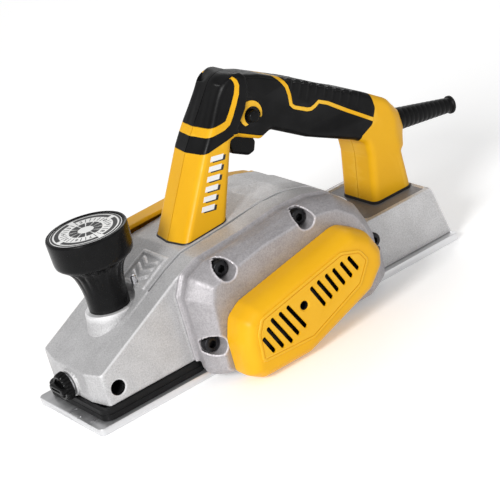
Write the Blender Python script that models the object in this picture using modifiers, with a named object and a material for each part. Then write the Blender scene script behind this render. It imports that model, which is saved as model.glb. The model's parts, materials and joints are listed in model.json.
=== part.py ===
"""Electric hand planer with an 82 mm cutter, built as an assembly of separate pieces.

The sizes below are in millimetres, in the machine's frame: X runs from the front edge of the
front base to the rear, Y is 0 on the centre line and the belt side is at -Y, and Z is 0 at the
sole. Every piece is a child of one empty, which puts the origin under the middle of the machine.
"""

import math

import bmesh
import bpy
from mathutils import Matrix, Vector

MM = 0.001
GAP = 0.3
WELD = 0.000001

# Overall box of the machine, which places its origin.
FRONT_END, REAR_END = -3.0, 339.8
NEAR_END, FAR_END = -85.0, 67.0

# Sole.
BASE_LENGTH, BASE_HALF = 290.0, 41.0
PLATE = 5.0

# Casting.
CAST_HALF = 37.0
FAR_FACE = 41.5
CAST_LOW, CAST_BOTTOM = 13.8, 5.6
SOLE_SCREW_X, SOLE_SCREW_Y = 215.0, 25.0

# Cutter drum and motor, both along Y.
DRUM_X, DRUM_Z = 113.0, 23.5
DRUM_RADIUS, DRUM_HALF = 21.8, 40.7
BLADE_REACH = 23.1
CHAMBER = 26.5
MOTOR_X, MOTOR_Z = 168.0, 46.0
MOTOR_BORE = 28.8
FAN_VANES = 6
SHAFT, SHAFT_HOLE = 3.7, 6.0
BEARING_OUT, BEARING_IN, BEARING_WIDTH = 11.0, 4.0, 7.0
MOTOR_PULLEY, DRUM_PULLEY = 8.0, 13.0
BELT = 2.0
PULLEY_ENDS = (-77.0, -65.0)

# Belt side.
HOUSING_FACE = -62.0
HOUSING_BACK = -37.8
COVER_FACE = -84.2
COVER_WALL = 2.5
SLOT_HALF = 1.0
HEAD_SEAT = -48.0
COVER_SCREW = (136.5, 35.7)
HOUSING_BOLTS = ((103.8, 70.1), (83.3, 27.1), (166.8, 76.3), (220.8, 32.9))

# Far side.
MOTOR_COVER_FACE = 62.0
MOTOR_COVER_WALL = 2.6
COVER_SCREWS = ((100.0, 68.0), (205.0, 66.0), (157.0, 13.0))
PLATE_SCREWS = ((143.0, 13.6), (113.0, 54.0))
NOZZLE_X, NOZZLE_Z = 92.0, 44.5
NOZZLE_BORE, NOZZLE_OUT = 8.5, 10.5

# Depth knob.
KNOB_X = 49.6
KNOB_TOP, KNOB_RADIUS, KNOB_HEIGHT = 111.3, 26.3, 19.4
BOSS_TOP, BOSS_RADIUS = 57.8, 15.0
SPINDLE = 4.0
SPINDLE_TOP = 79.7
STEM_RADIUS, STEM_FLARE = 13.3, 4.5
DIAL_RADIUS, DIAL_DEPTH = 23.3, 0.6
INDEX_PIN = (69.0, -3.0)

# Fence clamp.
ROD_X, ROD_Z, ROD_RADIUS = 21.9, 23.0, 5.0
CLAMP_FACE = 7.4
CLAMP_THREAD = 2.6
WASHER = 1.2

# Handle.
HANDLE_HALF = 19.0
FOOT_LEVELS = (40.8, 80.6)
SKIN, WALL = 2.2, 5.0
SEAM = 0.15
TRIGGER_PIVOT = (157.8, 131.5)
TRIGGER_HALF = 7.5
BUTTON_X, BUTTON_Z, BUTTON_RADIUS = 174.8, 136.9, 4.0
HANDLE_SCREWS = ((126.0, 96.0), (158.5, 146.0), (228.0, 117.0), (261.0, 62.0))
GUARD_BASE, GUARD_DROP = (291.0, 0.0, 81.7), math.radians(10.8)
GUARD_LENGTH = 48.5

# How far a cutter runs past the machine on every side.
PAST = 100.0

SMOOTH_ANGLE = math.radians(35)
FLAT_ANGLE = math.radians(0.5)
ARC_STEP = math.radians(24)

# Outlines: (x, z, corner radius), in mm.
DOME_TOP = (
    (83.0, 72.5, 5), (97.0, 78.0, 4), (133.0, 80.5, 0), (161.0, 84.0, 15), (182.0, 83.0, 12),
    (199.0, 78.0, 10), (214.0, 66.0, 10), (221.5, 50.0, 6),
)
CASTING = (
    (9.6, CAST_LOW, 0), (9.6, 33.5, 2), *DOME_TOP, (223.5, 42.0, 0), (281.0, 42.0, 1),
    (289.0, CAST_BOTTOM, 0), (125.0, CAST_BOTTOM, 0), (125.0, CAST_LOW, 0),
)
DOME = ((76.3, 15.0, 0), (76.3, 60.0, 0), *DOME_TOP, (223.2, 40.0, 0), (223.2, 15.0, 0))
HOUSING = (
    (76.3, 4.0, 7), (76.3, 60.0, 0), *DOME_TOP, (224.6, 37.0, 3), (226.5, 27.0, 4), (219.0, 9.0, 4),
    (205.0, 6.5, 4), (92.0, 4.0, 3),
)
COVER = (
    (89.5, 6.4, 4), (90.4, 33.0, 8), (95.5, 45.5, 8), (106.0, 52.2, 10), (183.4, 65.2, 12),
    (196.0, 56.0, 8), (199.0, 44.2, 6), (194.7, 33.5, 6), (182.4, 23.3, 8), (132.2, 3.6, 5),
    (102.0, 3.6, 3),
)
COVER_PANEL = (
    (97.8, 14.4, 3), (99.4, 33.0, 5), (104.5, 42.3, 5), (171.4, 56.2, 8), (185.3, 51.5, 6),
    (190.0, 42.8, 4), (180.1, 29.1, 6), (137.5, 12.4, 4),
)
MOTOR_COVER = (
    (76.3, 5.0, 6), (76.3, 60.0, 3), (83.5, 74.0, 6), (97.5, 79.8, 4), (133.5, 82.5, 0),
    (161.5, 86.0, 15), (183.0, 85.0, 12), (200.5, 80.0, 10), (216.0, 67.5, 10), (223.5, 50.0, 8),
    (225.0, 30.0, 8), (212.0, 6.0, 8),
)
NOSE_HOLLOW = ((36.0, 10.0, 0), (36.0, 41.0, 4), (72.0, 60.0, 4), (72.0, 10.0, 0))
HANDLE = (
    (101.0, 79.1, 0), (132.0, 129.5, 10), (165.5, 170.0, 8), (189.0, 161.0, 10), (220.0, 144.0, 0),
    (248.0, 126.0, 0), (278.0, 105.0, 12), (291.0, 91.0, 5), (293.0, 78.0, 3), (288.0, 69.0, 2),
    (278.0, 66.5, 2), (277.3, 40.8, 0), (245.8, 40.8, 0), (247.0, 72.0, 4), (252.0, 84.0, 4),
    (246.0, 88.5, 4), (211.0, 106.0, 0), (194.0, 116.0, 6), (178.0, 118.8, 2), (160.0, 128.3, 3),
    (155.8, 127.5, 2), (137.5, 82.1, 0),
)
GRIP_REGION = (
    (120.0, 127.5, 0), (137.0, 127.8, 0), (158.0, 130.8, 0), (160.0, 115.0, 0), (185.0, 100.0, 0),
    (243.0, 80.0, 0), (250.5, 90.5, 0), (260.0, 94.5, 4), (265.0, 104.0, 4), (264.0, 125.0, 0),
    (200.0, 180.0, 0), (130.0, 190.0, 0),
)
TRIGGER = (
    (158.6, 134.0, 2), (160.0, 115.0, 2), (171.0, 109.0, 3), (176.0, 110.0, 2), (178.5, 116.0, 2),
    (176.0, 124.0, 2), (168.0, 134.0, 2),
)

# Pieces whose many cuts share edges, where the exact solver loses faces.
MANIFOLD_PIECES = {
    "main_frame", "belt_cover", "motor_cover", "grip_overmould_left", "grip_overmould_right",
    "handle_shell_left", "handle_shell_right",
}


def clear_scene():
    for obj in list(bpy.data.objects):
        bpy.data.objects.remove(obj, do_unlink=True)


clear_scene()

PARTS = bpy.data.collections.new("hand_planer")
TOOLS = bpy.data.collections.new("cutters")
ROOT = bpy.data.objects.new("planer", None)
MATERIALS = {}


def material(name, colour, roughness, metallic=0.0):
    made = bpy.data.materials.new(name)
    made.use_nodes = True
    surface = made.node_tree.nodes["Principled BSDF"]
    surface.inputs["Base Color"].default_value = (*colour, 1)
    surface.inputs["Roughness"].default_value = roughness
    surface.inputs["Metallic"].default_value = metallic
    MATERIALS[name] = made


def make_materials():
    material("cast_aluminium", (0.55, 0.55, 0.56), 0.55, 0.6)
    material("machined_aluminium", (0.66, 0.66, 0.67), 0.35, 0.9)
    material("yellow_plastic", (0.85, 0.48, 0.02), 0.45)
    material("black_plastic", (0.02, 0.02, 0.022), 0.45)
    material("black_rubber", (0.015, 0.015, 0.016), 0.7)
    material("steel", (0.5, 0.5, 0.52), 0.3, 1.0)
    material("blackened_steel", (0.03, 0.03, 0.03), 0.35, 0.6)
    material("white_label", (0.85, 0.85, 0.85), 0.5)
    material("copper", (0.72, 0.35, 0.2), 0.4, 1.0)
    material("laminations", (0.25, 0.25, 0.26), 0.5, 0.7)
    material("brass", (0.75, 0.55, 0.22), 0.35, 1.0)


def rounded(corners):
    """The outline through (a, b, radius) corners, with an arc at each sharp one that has a radius."""
    outline = []
    for index, (a, b, radius) in enumerate(corners):
        corner = Vector((a, b))
        back = (Vector(corners[index - 1][:2]) - corner).normalized()
        onward = (Vector(corners[(index + 1) % len(corners)][:2]) - corner).normalized()
        half = back.angle(onward) / 2
        steps = math.ceil((math.pi - 2 * half) / ARC_STEP)
        if radius == 0 or steps < 2:
            outline.append(corner)
            continue
        centre = corner + (back + onward).normalized() * (radius / math.sin(half))
        start = (corner + back * (radius / math.tan(half)) - centre).normalized()
        end = (corner + onward * (radius / math.tan(half)) - centre).normalized()
        outline += [centre + start.slerp(end, step / steps) * radius for step in range(steps + 1)]
    return outline


def turned_left(corners):
    area = sum(
        a[0] * b[1] - b[0] * a[1] for a, b in zip(corners, (*corners[1:], corners[0]))
    )
    return area > 0


def inset(corners, distance):
    """The corners with every side moved inwards by distance, and sharper outer corners to match."""
    side = 1 if turned_left(corners) else -1
    moved = []
    for index, (a, b, radius) in enumerate(corners):
        corner = Vector((a, b))
        along = (corner - Vector(corners[index - 1][:2])).normalized()
        onward = (Vector(corners[(index + 1) % len(corners)][:2]) - corner).normalized()
        inward = Vector((-along.y, along.x)) * side
        inward_next = Vector((-onward.y, onward.x)) * side
        reach = (inward + inward_next) / (1 + inward.dot(inward_next)) * distance
        convex = along.cross(onward) * side > 0
        new_radius = max(radius - distance, 0) if convex else radius
        moved.append((a + reach.x, b + reach.y, new_radius))
    return tuple(moved)


def circle(a, b, radius, steps=20):
    turn = 2 * math.pi / steps
    return [
        (a + radius * math.cos(turn * step), b + radius * math.sin(turn * step))
        for step in range(steps)
    ]


def rectangle(low_a, low_b, high_a, high_b, radius=0):
    corners = ((low_a, low_b), (high_a, low_b), (high_a, high_b), (low_a, high_b))
    return tuple((a, b, radius) for a, b in corners)


def bar(start, end, half):
    """The outline of a straight bar from start to end, and twice half wide."""
    along = (Vector(end) - Vector(start)).normalized()
    across = Vector((-along.y, along.x)) * half
    first, last = Vector(start), Vector(end)
    return [first + across, first - across, last - across, last + across]


def place(name, mesh, finish):
    """A piece of the machine made from this mesh."""
    obj = bpy.data.objects.new(name, mesh)
    obj.data.materials.clear()
    obj.data.materials.append(MATERIALS[finish])
    PARTS.objects.link(obj)
    obj.parent = ROOT
    return obj


# From an outline drawn in X and Y to one drawn across the named axis.
AXES = {
    "Z": Matrix(),
    "Y": Matrix.Rotation(math.pi / 2, 4, "X"),
    "X": Matrix(((0, 0, 1, 0), (1, 0, 0, 0), (0, 1, 0, 0), (0, 0, 0, 1))),
}

# From a rod that stands along Z to one along the named axis.
ROD_TURNS = {
    "Z": Matrix(),
    "Y": Matrix.Rotation(-math.pi / 2, 4, "X"),
    "X": Matrix.Rotation(math.pi / 2, 4, "Y"),
}


def slab(name, outline, low, high, finish="steel", along="Y", holes=()):
    """A flat outline, drawn across the axis named by along and extruded from low to high on it."""
    curve = bpy.data.curves.new(name, "CURVE")
    curve.dimensions = "2D"
    curve.fill_mode = "BOTH"
    curve.extrude = (high - low) / 2 * MM
    for loop in (outline, *holes):
        spline = curve.splines.new("POLY")
        spline.points.add(len(loop) - 1)
        for point, (a, b) in zip(spline.points, loop):
            point.co = (a * MM, b * MM, 0, 1)
        spline.use_cyclic_u = True
    flat = bpy.data.objects.new(name, curve)
    bpy.context.scene.collection.objects.link(flat)
    mesh = bpy.data.meshes.new_from_object(flat.evaluated_get(bpy.context.evaluated_depsgraph_get()))
    bpy.data.objects.remove(flat)
    shift = Vector([(low + high) / 2 * MM if axis == along else 0 for axis in "XYZ"])
    welded = bmesh.new()
    welded.from_mesh(mesh)
    bmesh.ops.remove_doubles(welded, verts=welded.verts, dist=WELD)
    if not holes:
        bmesh.ops.dissolve_limit(
            welded, angle_limit=FLAT_ANGLE, verts=welded.verts, edges=welded.edges
        )
    bmesh.ops.transform(welded, matrix=Matrix.Translation(shift) @ AXES[along], verts=welded.verts)
    bmesh.ops.recalc_face_normals(welded, faces=welded.faces)
    welded.to_mesh(mesh)
    welded.free()
    return place(name, mesh, finish)


def block(name, low, high, finish="steel"):
    """A box between two corners."""
    made = bmesh.new()
    bmesh.ops.create_cube(made, size=MM)
    middle = Vector([(a + b) / 2 * MM for a, b in zip(low, high)])
    size = Matrix.Diagonal([b - a for a, b in zip(low, high)] + [1])
    bmesh.ops.transform(made, matrix=Matrix.Translation(middle) @ size, verts=made.verts)
    mesh = bpy.data.meshes.new(name)
    made.to_mesh(mesh)
    made.free()
    return place(name, mesh, finish)


def rod(name, centre, radius, low, high, finish="steel", along="Y", steps=16, tip=None):
    """A round rod along one axis. centre gives the other two places, and tip its radius at high."""
    made = bmesh.new()
    bmesh.ops.create_cone(
        made, cap_ends=True, segments=steps, radius1=radius * MM,
        radius2=(radius if tip is None else tip) * MM, depth=(high - low) * MM,
    )
    spots = iter(centre)
    middle = Vector([((low + high) / 2 if axis == along else next(spots)) * MM for axis in "XYZ"])
    stand = Matrix.Translation(middle) @ ROD_TURNS[along]
    bmesh.ops.transform(made, matrix=stand, verts=made.verts)
    mesh = bpy.data.meshes.new(name)
    made.to_mesh(mesh)
    made.free()
    return place(name, mesh, finish)


def turned(name, profile, spot, turn, finish, steps=20):
    """A piece turned about its own Z axis from (radius, height) points that run down its outer side."""
    mesh = bpy.data.meshes.new(name)
    points = [(radius * MM, 0, height * MM) for radius, height in profile]
    closed = profile[0][0] > 0
    edges = [(i, i + 1) for i in range(len(points) - 1)]
    if closed:
        edges.append((len(points) - 1, 0))
    mesh.from_pydata(points, edges, [])
    obj = place(name, mesh, finish)
    obj.location = Vector(spot) * MM
    obj.rotation_euler = turn
    screw = obj.modifiers.new("turn", "SCREW")
    screw.steps = screw.render_steps = steps
    screw.use_merge_vertices = True
    screw.merge_threshold = WELD
    return obj


# Turns a piece's own Z axis to +Y.
ALONG_Y = (-math.pi / 2, 0, 0)


def tube(name, centre, inner, outer, low, high, finish, steps=20):
    """A round sleeve along Y."""
    ring = [circle(*centre, inner, steps)]
    return slab(name, circle(*centre, outer, steps), low, high, finish, holes=ring)


def bevel(obj, width, segments, chosen):
    """Rounds the edges whose middle, in mm, passes the test named by chosen."""
    weights = obj.data.attributes.new("bevel_weight_edge", "FLOAT", "EDGE")
    for edge in obj.data.edges:
        middle = sum((obj.data.vertices[v].co for v in edge.vertices), Vector()) / 2 / MM
        ends = [obj.data.vertices[v].co / MM for v in edge.vertices]
        weights.data[edge.index].value = float(chosen(middle, ends))
    rounding = obj.modifiers.new("rounding", "BEVEL")
    rounding.width = width * MM
    rounding.segments = segments
    rounding.limit_method = "WEIGHT"
    rounding.use_clamp_overlap = True
    return obj


def on_face(axis, level):
    """A test for the edges that lie in one flat face."""
    def test(_, ends):
        return all(abs(end[axis] - level) < 0.01 for end in ends)
    return test


def as_tool(obj):
    if obj.name in PARTS.objects:
        PARTS.objects.unlink(obj)
        TOOLS.objects.link(obj)
        obj.hide_render = True
        obj.display_type = "WIRE"
    return obj


def combine(target, operation, *tools):
    for tool in tools:
        step = target.modifiers.new(tool.name, "BOOLEAN")
        step.operation = operation
        step.solver = "MANIFOLD" if target.name in MANIFOLD_PIECES else "EXACT"
        step.object = as_tool(tool)
    return target


def cut(target, *tools):
    return combine(target, "DIFFERENCE", *tools)


def join(target, *tools):
    return combine(target, "UNION", *tools)


def keep(target, *tools):
    return combine(target, "INTERSECT", *tools)


def axis_at(obj, spot):
    """Moves the piece's origin to a place on its joint's axis."""
    place_m = Vector(spot) * MM
    obj.data.transform(Matrix.Translation(-place_m))
    obj.location = place_m
    return obj


# Castings and sole.


def main_frame():
    """The body casting: nose, dome over the motor, and the hollow rear body."""
    frame = slab("main_frame", rounded(CASTING), -CAST_HALF, CAST_HALF, "cast_aluminium")
    plan = (
        (9.6, 0.0, 0), (13.0, -CAST_HALF + 0.5, 2), (16.0, -CAST_HALF, 0), (295.0, -CAST_HALF, 0),
        (295.0, CAST_HALF, 0), (16.0, CAST_HALF, 0), (13.0, CAST_HALF - 0.5, 2),
    )
    keep(frame, slab("frame_plan", rounded(plan), 0, 100, along="Z"))
    join(frame, slab("frame_dome", rounded(DOME), -CAST_HALF - 0.4, FAR_FACE))
    cut(frame, slab("nose_hollow", rounded(NOSE_HOLLOW), -31.5, 31.5))
    join(frame, rod("knob_boss", (KNOB_X, 0), BOSS_RADIUS, 44.0, BOSS_TOP, along="Z", steps=24))
    join(frame, rod("clamp_boss", (0, ROD_Z), 9.0, CLAMP_FACE, 14.0, along="X"))
    cut(frame, *frame_bores(), *frame_hollows(), *frame_screw_holes())
    return frame


def frame_bores():
    drum, motor = (DRUM_X, DRUM_Z), (MOTOR_X, MOTOR_Z)
    return (
        rod("drum_chamber", drum, CHAMBER, -PAST, PAST, steps=32),
        rod("chip_duct", (NOZZLE_X, NOZZLE_Z), NOZZLE_BORE + 1, -30, PAST),
        rod("motor_bore", motor, MOTOR_BORE, -24, PAST, steps=32),
        rod("motor_bearing_seat", motor, BEARING_OUT + GAP, -33.5, -20),
        rod("motor_shaft_hole", motor, SHAFT_HOLE, -PAST, -30, steps=12),
        rod("knob_seat", (KNOB_X, 0), BOSS_RADIUS + 1.3, BOSS_TOP, 90, along="Z", steps=24),
        rod("spindle_bore", (KNOB_X, 0), SPINDLE + 0.6, 30, 70, along="Z", steps=12),
        rod("rod_bore", (ROD_X, ROD_Z), ROD_RADIUS, -PAST, PAST, steps=14),
        rod("clamp_bore", (0, ROD_Z), CLAMP_THREAD + 0.5, 0, ROD_X, along="X", steps=8),
        rod("index_bore", INDEX_PIN, 2.3, 59.5, 80, along="Z", steps=8),
    )


def frame_hollows():
    foot_recess = rectangle(229, -32.5, 279.6, 32.5)
    return (
        block("rear_hollow", (233, -32, 0), (281, 32, 36)),
        slab("foot_recess", rounded(foot_recess), 40.5, 60, along="Z"),
        rod("wire_hole", (261, 0), 6, 30, 50, along="Z", steps=8),
        rod("wire_duct", (0, 28), 5, 180, 240, along="X", steps=8),
    )


def frame_screw_holes():
    bolts = [
        rod(f"bolt_hole_{i}", spot, 2.8, -PAST, -26.5, steps=8)
        for i, spot in enumerate(HOUSING_BOLTS, 1)
    ]
    cover = [
        rod(f"cover_hole_{i}", spot, 2.0, 29, PAST, steps=8)
        for i, spot in enumerate(COVER_SCREWS, 1)
    ]
    sole = [
        rod(f"sole_hole_{i}", (SOLE_SCREW_X, y), 2.3, 0, 19, along="Z", steps=8)
        for i, y in enumerate((-SOLE_SCREW_Y, SOLE_SCREW_Y), 1)
    ]
    plate = [
        rod(f"plate_bore_{i}", spot, 1.8, 32, PAST, steps=8)
        for i, spot in enumerate(PLATE_SCREWS, 1)
    ]
    return (*bolts, *cover, *sole, *plate)


def front_base():
    """The front shoe, which slides up and down. Its hub takes the depth spindle."""
    side = ((0, 0, 0), (0, PLATE, 0), (94.5, PLATE, 0), (100.5, 0, 0))
    shoe = slab("front_base", rounded(side), -BASE_HALF, BASE_HALF, "machined_aluminium")
    plan = rectangle(0, -BASE_HALF, 120, BASE_HALF, 4)
    keep(shoe, slab("front_plan", rounded(plan), -5, 20, along="Z"))
    join(shoe, rod("hub", (KNOB_X, 0), 9, 3, 33, along="Z"))
    groove = ((-2.5, -1.0), (0, 1.8), (2.5, -1.0))
    cut(
        shoe,
        rod("hub_bore", (KNOB_X, 0), SPINDLE + 0.4, 8, 40, along="Z", steps=12),
        slab("v_groove", groove, -5, 120, along="X"),
    )
    return shoe


def rear_base():
    """The fixed shoe behind the cutter, held by two sunk screws."""
    top = CAST_BOTTOM - GAP
    side = ((122, 0, 0), (131, top, 0), (BASE_LENGTH, top, 0), (BASE_LENGTH, 0, 0))
    shoe = slab("rear_base", rounded(side), -BASE_HALF, BASE_HALF, "machined_aluminium")
    for i, y in enumerate((-SOLE_SCREW_Y, SOLE_SCREW_Y), 1):
        spot = (SOLE_SCREW_X, y)
        cut(
            shoe,
            rod(f"sole_head_{i}", spot, 4.5, -1, 3, along="Z", steps=12),
            rod(f"sole_shank_{i}", spot, 2.3, 2, 10, along="Z", steps=8),
        )
        screw = rod(f"rear_base_screw_{i}", spot, 4.2, 0.5, 2.7, along="Z", steps=10)
        join(screw, rod(f"rear_base_thread_{i}", spot, 2.0, 2, 17, along="Z", steps=8))
    return shoe


def front_base_seal():
    """The rubber band that closes the gap between the front shoe and the casting."""
    low, high = PLATE + GAP, CAST_LOW - GAP
    outer = rounded(rectangle(7, -38, 85, 38, 7))
    inner = rounded(rectangle(10, -35, 82, 35, 4))
    seal = slab("front_base_seal", outer, low, high, "black_rubber", "Z")
    return cut(seal, slab("seal_middle", inner, low - 2, high + 2, along="Z"))


# Depth setting.


def depth_knob():
    """The knob with its flared stem, a shallow dish for the dial and a bore for the spindle."""
    foot, low = BOSS_TOP + GAP, KNOB_TOP - KNOB_HEIGHT
    rises = [step / 5 for step in range(5)]
    flare = [(STEM_RADIUS + STEM_FLARE * rise ** 2.5, foot + (low - foot) * rise) for rise in rises]
    dish = KNOB_TOP - DIAL_DEPTH - GAP
    rim = DIAL_RADIUS + 0.4
    bore = SPINDLE + GAP
    bore_top = SPINDLE_TOP + GAP
    profile = [
        (0.0, dish), (rim, dish), (rim, KNOB_TOP), (KNOB_RADIUS - 0.7, KNOB_TOP),
        (KNOB_RADIUS, KNOB_TOP - 0.9), (KNOB_RADIUS - 0.8, low + 1.5), (KNOB_RADIUS - 2.5, low),
        *reversed(flare), (bore, foot), (bore, bore_top), (0.0, bore_top),
    ]
    return turned("depth_knob", lowered(profile), (KNOB_X, 0, BOSS_TOP), (0, 0, 0), "black_plastic", 30)


def lowered(profile):
    """The knob's profile measured from the top of its boss."""
    return [(radius, height - BOSS_TOP) for radius, height in profile]


def depth_dial():
    low = KNOB_TOP - DIAL_DEPTH
    dial = rod("depth_dial", (KNOB_X, 0), DIAL_RADIUS, low, KNOB_TOP, "white_label", "Z", 30)
    return axis_at(dial, (KNOB_X, 0, BOSS_TOP))


def depth_spindle():
    """The screw that drives the front shoe, with the collar that the spring pushes on."""
    profile = [
        (0.0, SPINDLE_TOP), (SPINDLE, SPINDLE_TOP), (SPINDLE, 43.5), (7.0, 43.5), (7.0, 41.4),
        (SPINDLE, 41.4), (SPINDLE, 20.0), (0.0, 20.0),
    ]
    return turned("depth_spindle", lowered(profile), (KNOB_X, 0, BOSS_TOP), (0, 0, 0), "steel", 14)


def depth_spring():
    """The compression spring that keeps the front shoe pressed down."""
    curve = bpy.data.curves.new("depth_spring", "CURVE")
    curve.dimensions = "3D"
    curve.bevel_depth = 0.6 * MM
    curve.bevel_resolution = 1
    curve.use_fill_caps = True
    turns, per_turn, low, high, radius = 3, 9, 34.2, 40.4, 5.9
    spline = curve.splines.new("POLY")
    spline.points.add(turns * per_turn)
    for step, point in enumerate(spline.points):
        angle = 2 * math.pi * step / per_turn
        height = low + (high - low) * step / (turns * per_turn)
        point.co = (radius * math.cos(angle) * MM, radius * math.sin(angle) * MM, height * MM, 1)
    coil = place("depth_spring", curve, "steel")
    coil.location = (KNOB_X * MM, 0, 0)
    return coil


def index_pin():
    """The stop pin that the knob's index clicks against."""
    return rod("index_pin", INDEX_PIN, 2.0, 60, 67, "steel", "Z", 10)


# Fence clamp.


def fence_clamp():
    """The thumb screw that grips a fence rod, and its washer."""
    axis = (0, ROD_Z)
    face = CLAMP_FACE - GAP
    hole = circle(*axis, CLAMP_THREAD + 0.4, 16)
    washer = slab(
        "fence_clamp_washer", circle(*axis, 7.0), face - WASHER, face, "steel", "X", (hole,)
    )
    head_face = face - WASHER - GAP
    screw = rod("fence_clamp_screw", axis, 7.6, 0.0, head_face, "black_plastic", "X", 20, 8.7)
    bow = rectangle(-8.2, ROD_Z - 2.2, 8.2, ROD_Z + 2.2, 2)
    join(
        screw,
        slab("clamp_bow", rounded(bow), FRONT_END, 1, along="X"),
        rod("clamp_thread", axis, CLAMP_THREAD, head_face - 1, 15.8, along="X", steps=8),
    )
    axis_at(washer, (face, 0, ROD_Z))
    axis_at(screw, (face, 0, ROD_Z))


# Belt drive.


def belt_housing():
    """The casting that holds the drum's bearing and the belt drive on the near side."""
    housing = slab("belt_housing", rounded(HOUSING), HOUSING_FACE, HOUSING_BACK, "cast_aluminium")
    bevel(housing, 6, 3, on_face(1, HOUSING_FACE))
    drum, motor = (DRUM_X, DRUM_Z), (MOTOR_X, MOTOR_Z)
    floor = -57.0
    cut(
        housing,
        slab("belt_hollow", rounded(inset(COVER, 3.5)), -PAST, floor),
        rod("drum_pocket", drum, CHAMBER - 2, -43, 0, steps=32),
        rod("drum_bearing_seat", drum, BEARING_OUT + GAP, -70, -49.5),
        rod("drum_shaft_hole", drum, SHAFT_HOLE, -60, -40, steps=12),
        rod("pulley_shaft_hole", motor, SHAFT_HOLE, -60, -30, steps=12),
        block("base_clearance", (60, -41.6, -10), (240, -30, CAST_BOTTOM + 0.6)),
        block("shoe_clearance", (60, -41.6, -10), (99.5, -30, CAST_LOW)),
    )
    join(housing, rod("cover_boss", COVER_SCREW, 4.5, floor - 6.5, floor + 2, steps=12))
    cut(housing, rod("cover_boss_hole", COVER_SCREW, 2.0, -70, -48, steps=8))
    for i, spot in enumerate(HOUSING_BOLTS, 1):
        cut(
            housing,
            rod(f"bolt_pocket_{i}", spot, 6.3, -70, HEAD_SEAT, steps=14),
            rod(f"bolt_bore_{i}", spot, 2.8, -50, -30, steps=8),
        )
        housing_bolt(i, spot)
    return housing


def housing_bolt(i, spot):
    """A socket-head bolt that goes through the housing into the body."""
    low, high = HEAD_SEAT - 5.3, HEAD_SEAT - GAP
    bolt = rod(f"belt_housing_bolt_{i}", spot, 4.3, low, high, "blackened_steel", steps=14)
    cut(bolt, rod(f"bolt_socket_{i}", spot, 2.3, low - 3, low + 2.5, steps=6))
    join(bolt, rod(f"bolt_thread_{i}", spot, 2.5, high - 0.7, -27, steps=8))


def belt_cover():
    """The moulded cover over the belt, with eleven slanted slots and one sunk screw."""
    cover = slab("belt_cover", rounded(COVER), COVER_FACE, HOUSING_FACE - GAP, "yellow_plastic")
    bevel(cover, 4, 3, on_face(1, COVER_FACE))
    hollow = rounded(inset(COVER, COVER_WALL))
    cut(cover, slab("cover_hollow", hollow, COVER_FACE + COVER_WALL, HOUSING_FACE + 1))
    join(
        cover,
        slab("cover_panel", rounded(COVER_PANEL), NEAR_END, COVER_FACE + 1),
        rod("cover_screw_boss", COVER_SCREW, 5.5, COVER_FACE + 1, -64.2, steps=14),
    )
    cut(
        cover,
        rod("cover_screw_recess", COVER_SCREW, 2.9, -PAST, -69, steps=12),
        rod("cover_screw_hole", COVER_SCREW, 1.9, -75, -60, steps=8),
        *cover_slots(),
    )
    screw = rod("belt_cover_screw", COVER_SCREW, 2.6, -72, -69.3, "blackened_steel", steps=12)
    join(screw, rod("belt_cover_thread", COVER_SCREW, 1.6, -70, -50, steps=8))
    return cover


def cover_slots():
    """Slanted slots, as (top x, top z, bottom x, bottom z)."""
    ends = (
        (102.9, 28.6, 107.3, 18.7), (107.6, 33.4, 114.1, 18.6), (112.0, 37.7, 121.0, 18.5),
        (118.6, 38.7, 126.9, 21.2), (125.0, 40.0, 133.2, 23.2), (144.6, 43.6, 150.6, 29.9),
        (150.5, 45.2, 156.6, 32.0), (157.2, 46.4, 162.2, 34.4), (163.4, 47.4, 168.2, 36.2),
        (169.9, 48.8, 174.5, 38.4), (176.2, 49.7, 180.4, 40.9),
    )
    return [
        slab(f"slot_{i}", bar((top_x, top_z), (low_x, low_z), SLOT_HALF), -PAST, -80)
        for i, (top_x, top_z, low_x, low_z) in enumerate(ends, 1)
    ]


def belt_outline(grow):
    """The outline that a belt takes round both pulleys, at a distance from their rims."""
    ends = Vector((MOTOR_X - DRUM_X, MOTOR_Z - DRUM_Z))
    heading = math.atan2(ends.y, ends.x)
    lean = math.asin((DRUM_PULLEY - MOTOR_PULLEY) / ends.length)
    wrap = math.pi / 2 - lean
    outline = []
    for centre, radius, start, stop in (
        ((MOTOR_X, MOTOR_Z), MOTOR_PULLEY, -wrap, wrap),
        ((DRUM_X, DRUM_Z), DRUM_PULLEY, wrap, 2 * math.pi - wrap),
    ):
        for step in range(13):
            angle = heading + start + (stop - start) * step / 12
            outline.append((
                centre[0] + (radius + grow) * math.cos(angle),
                centre[1] + (radius + grow) * math.sin(angle),
            ))
    return outline


def belt_drive():
    """The belt and both its pulleys."""
    inner = [belt_outline(GAP)]
    slab("drive_belt", belt_outline(GAP + BELT), -76, -66, "black_rubber", holes=inner)
    for name, spot, radius in (
        ("motor_pulley", (MOTOR_X, MOTOR_Z), MOTOR_PULLEY),
        ("drum_pulley", (DRUM_X, DRUM_Z), DRUM_PULLEY),
    ):
        pulley = tube(name, spot, SHAFT + GAP, radius, *PULLEY_ENDS, "machined_aluminium", 20)
        axis_at(pulley, (spot[0], sum(PULLEY_ENDS) / 2, spot[1]))


# Cutter.


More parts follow.
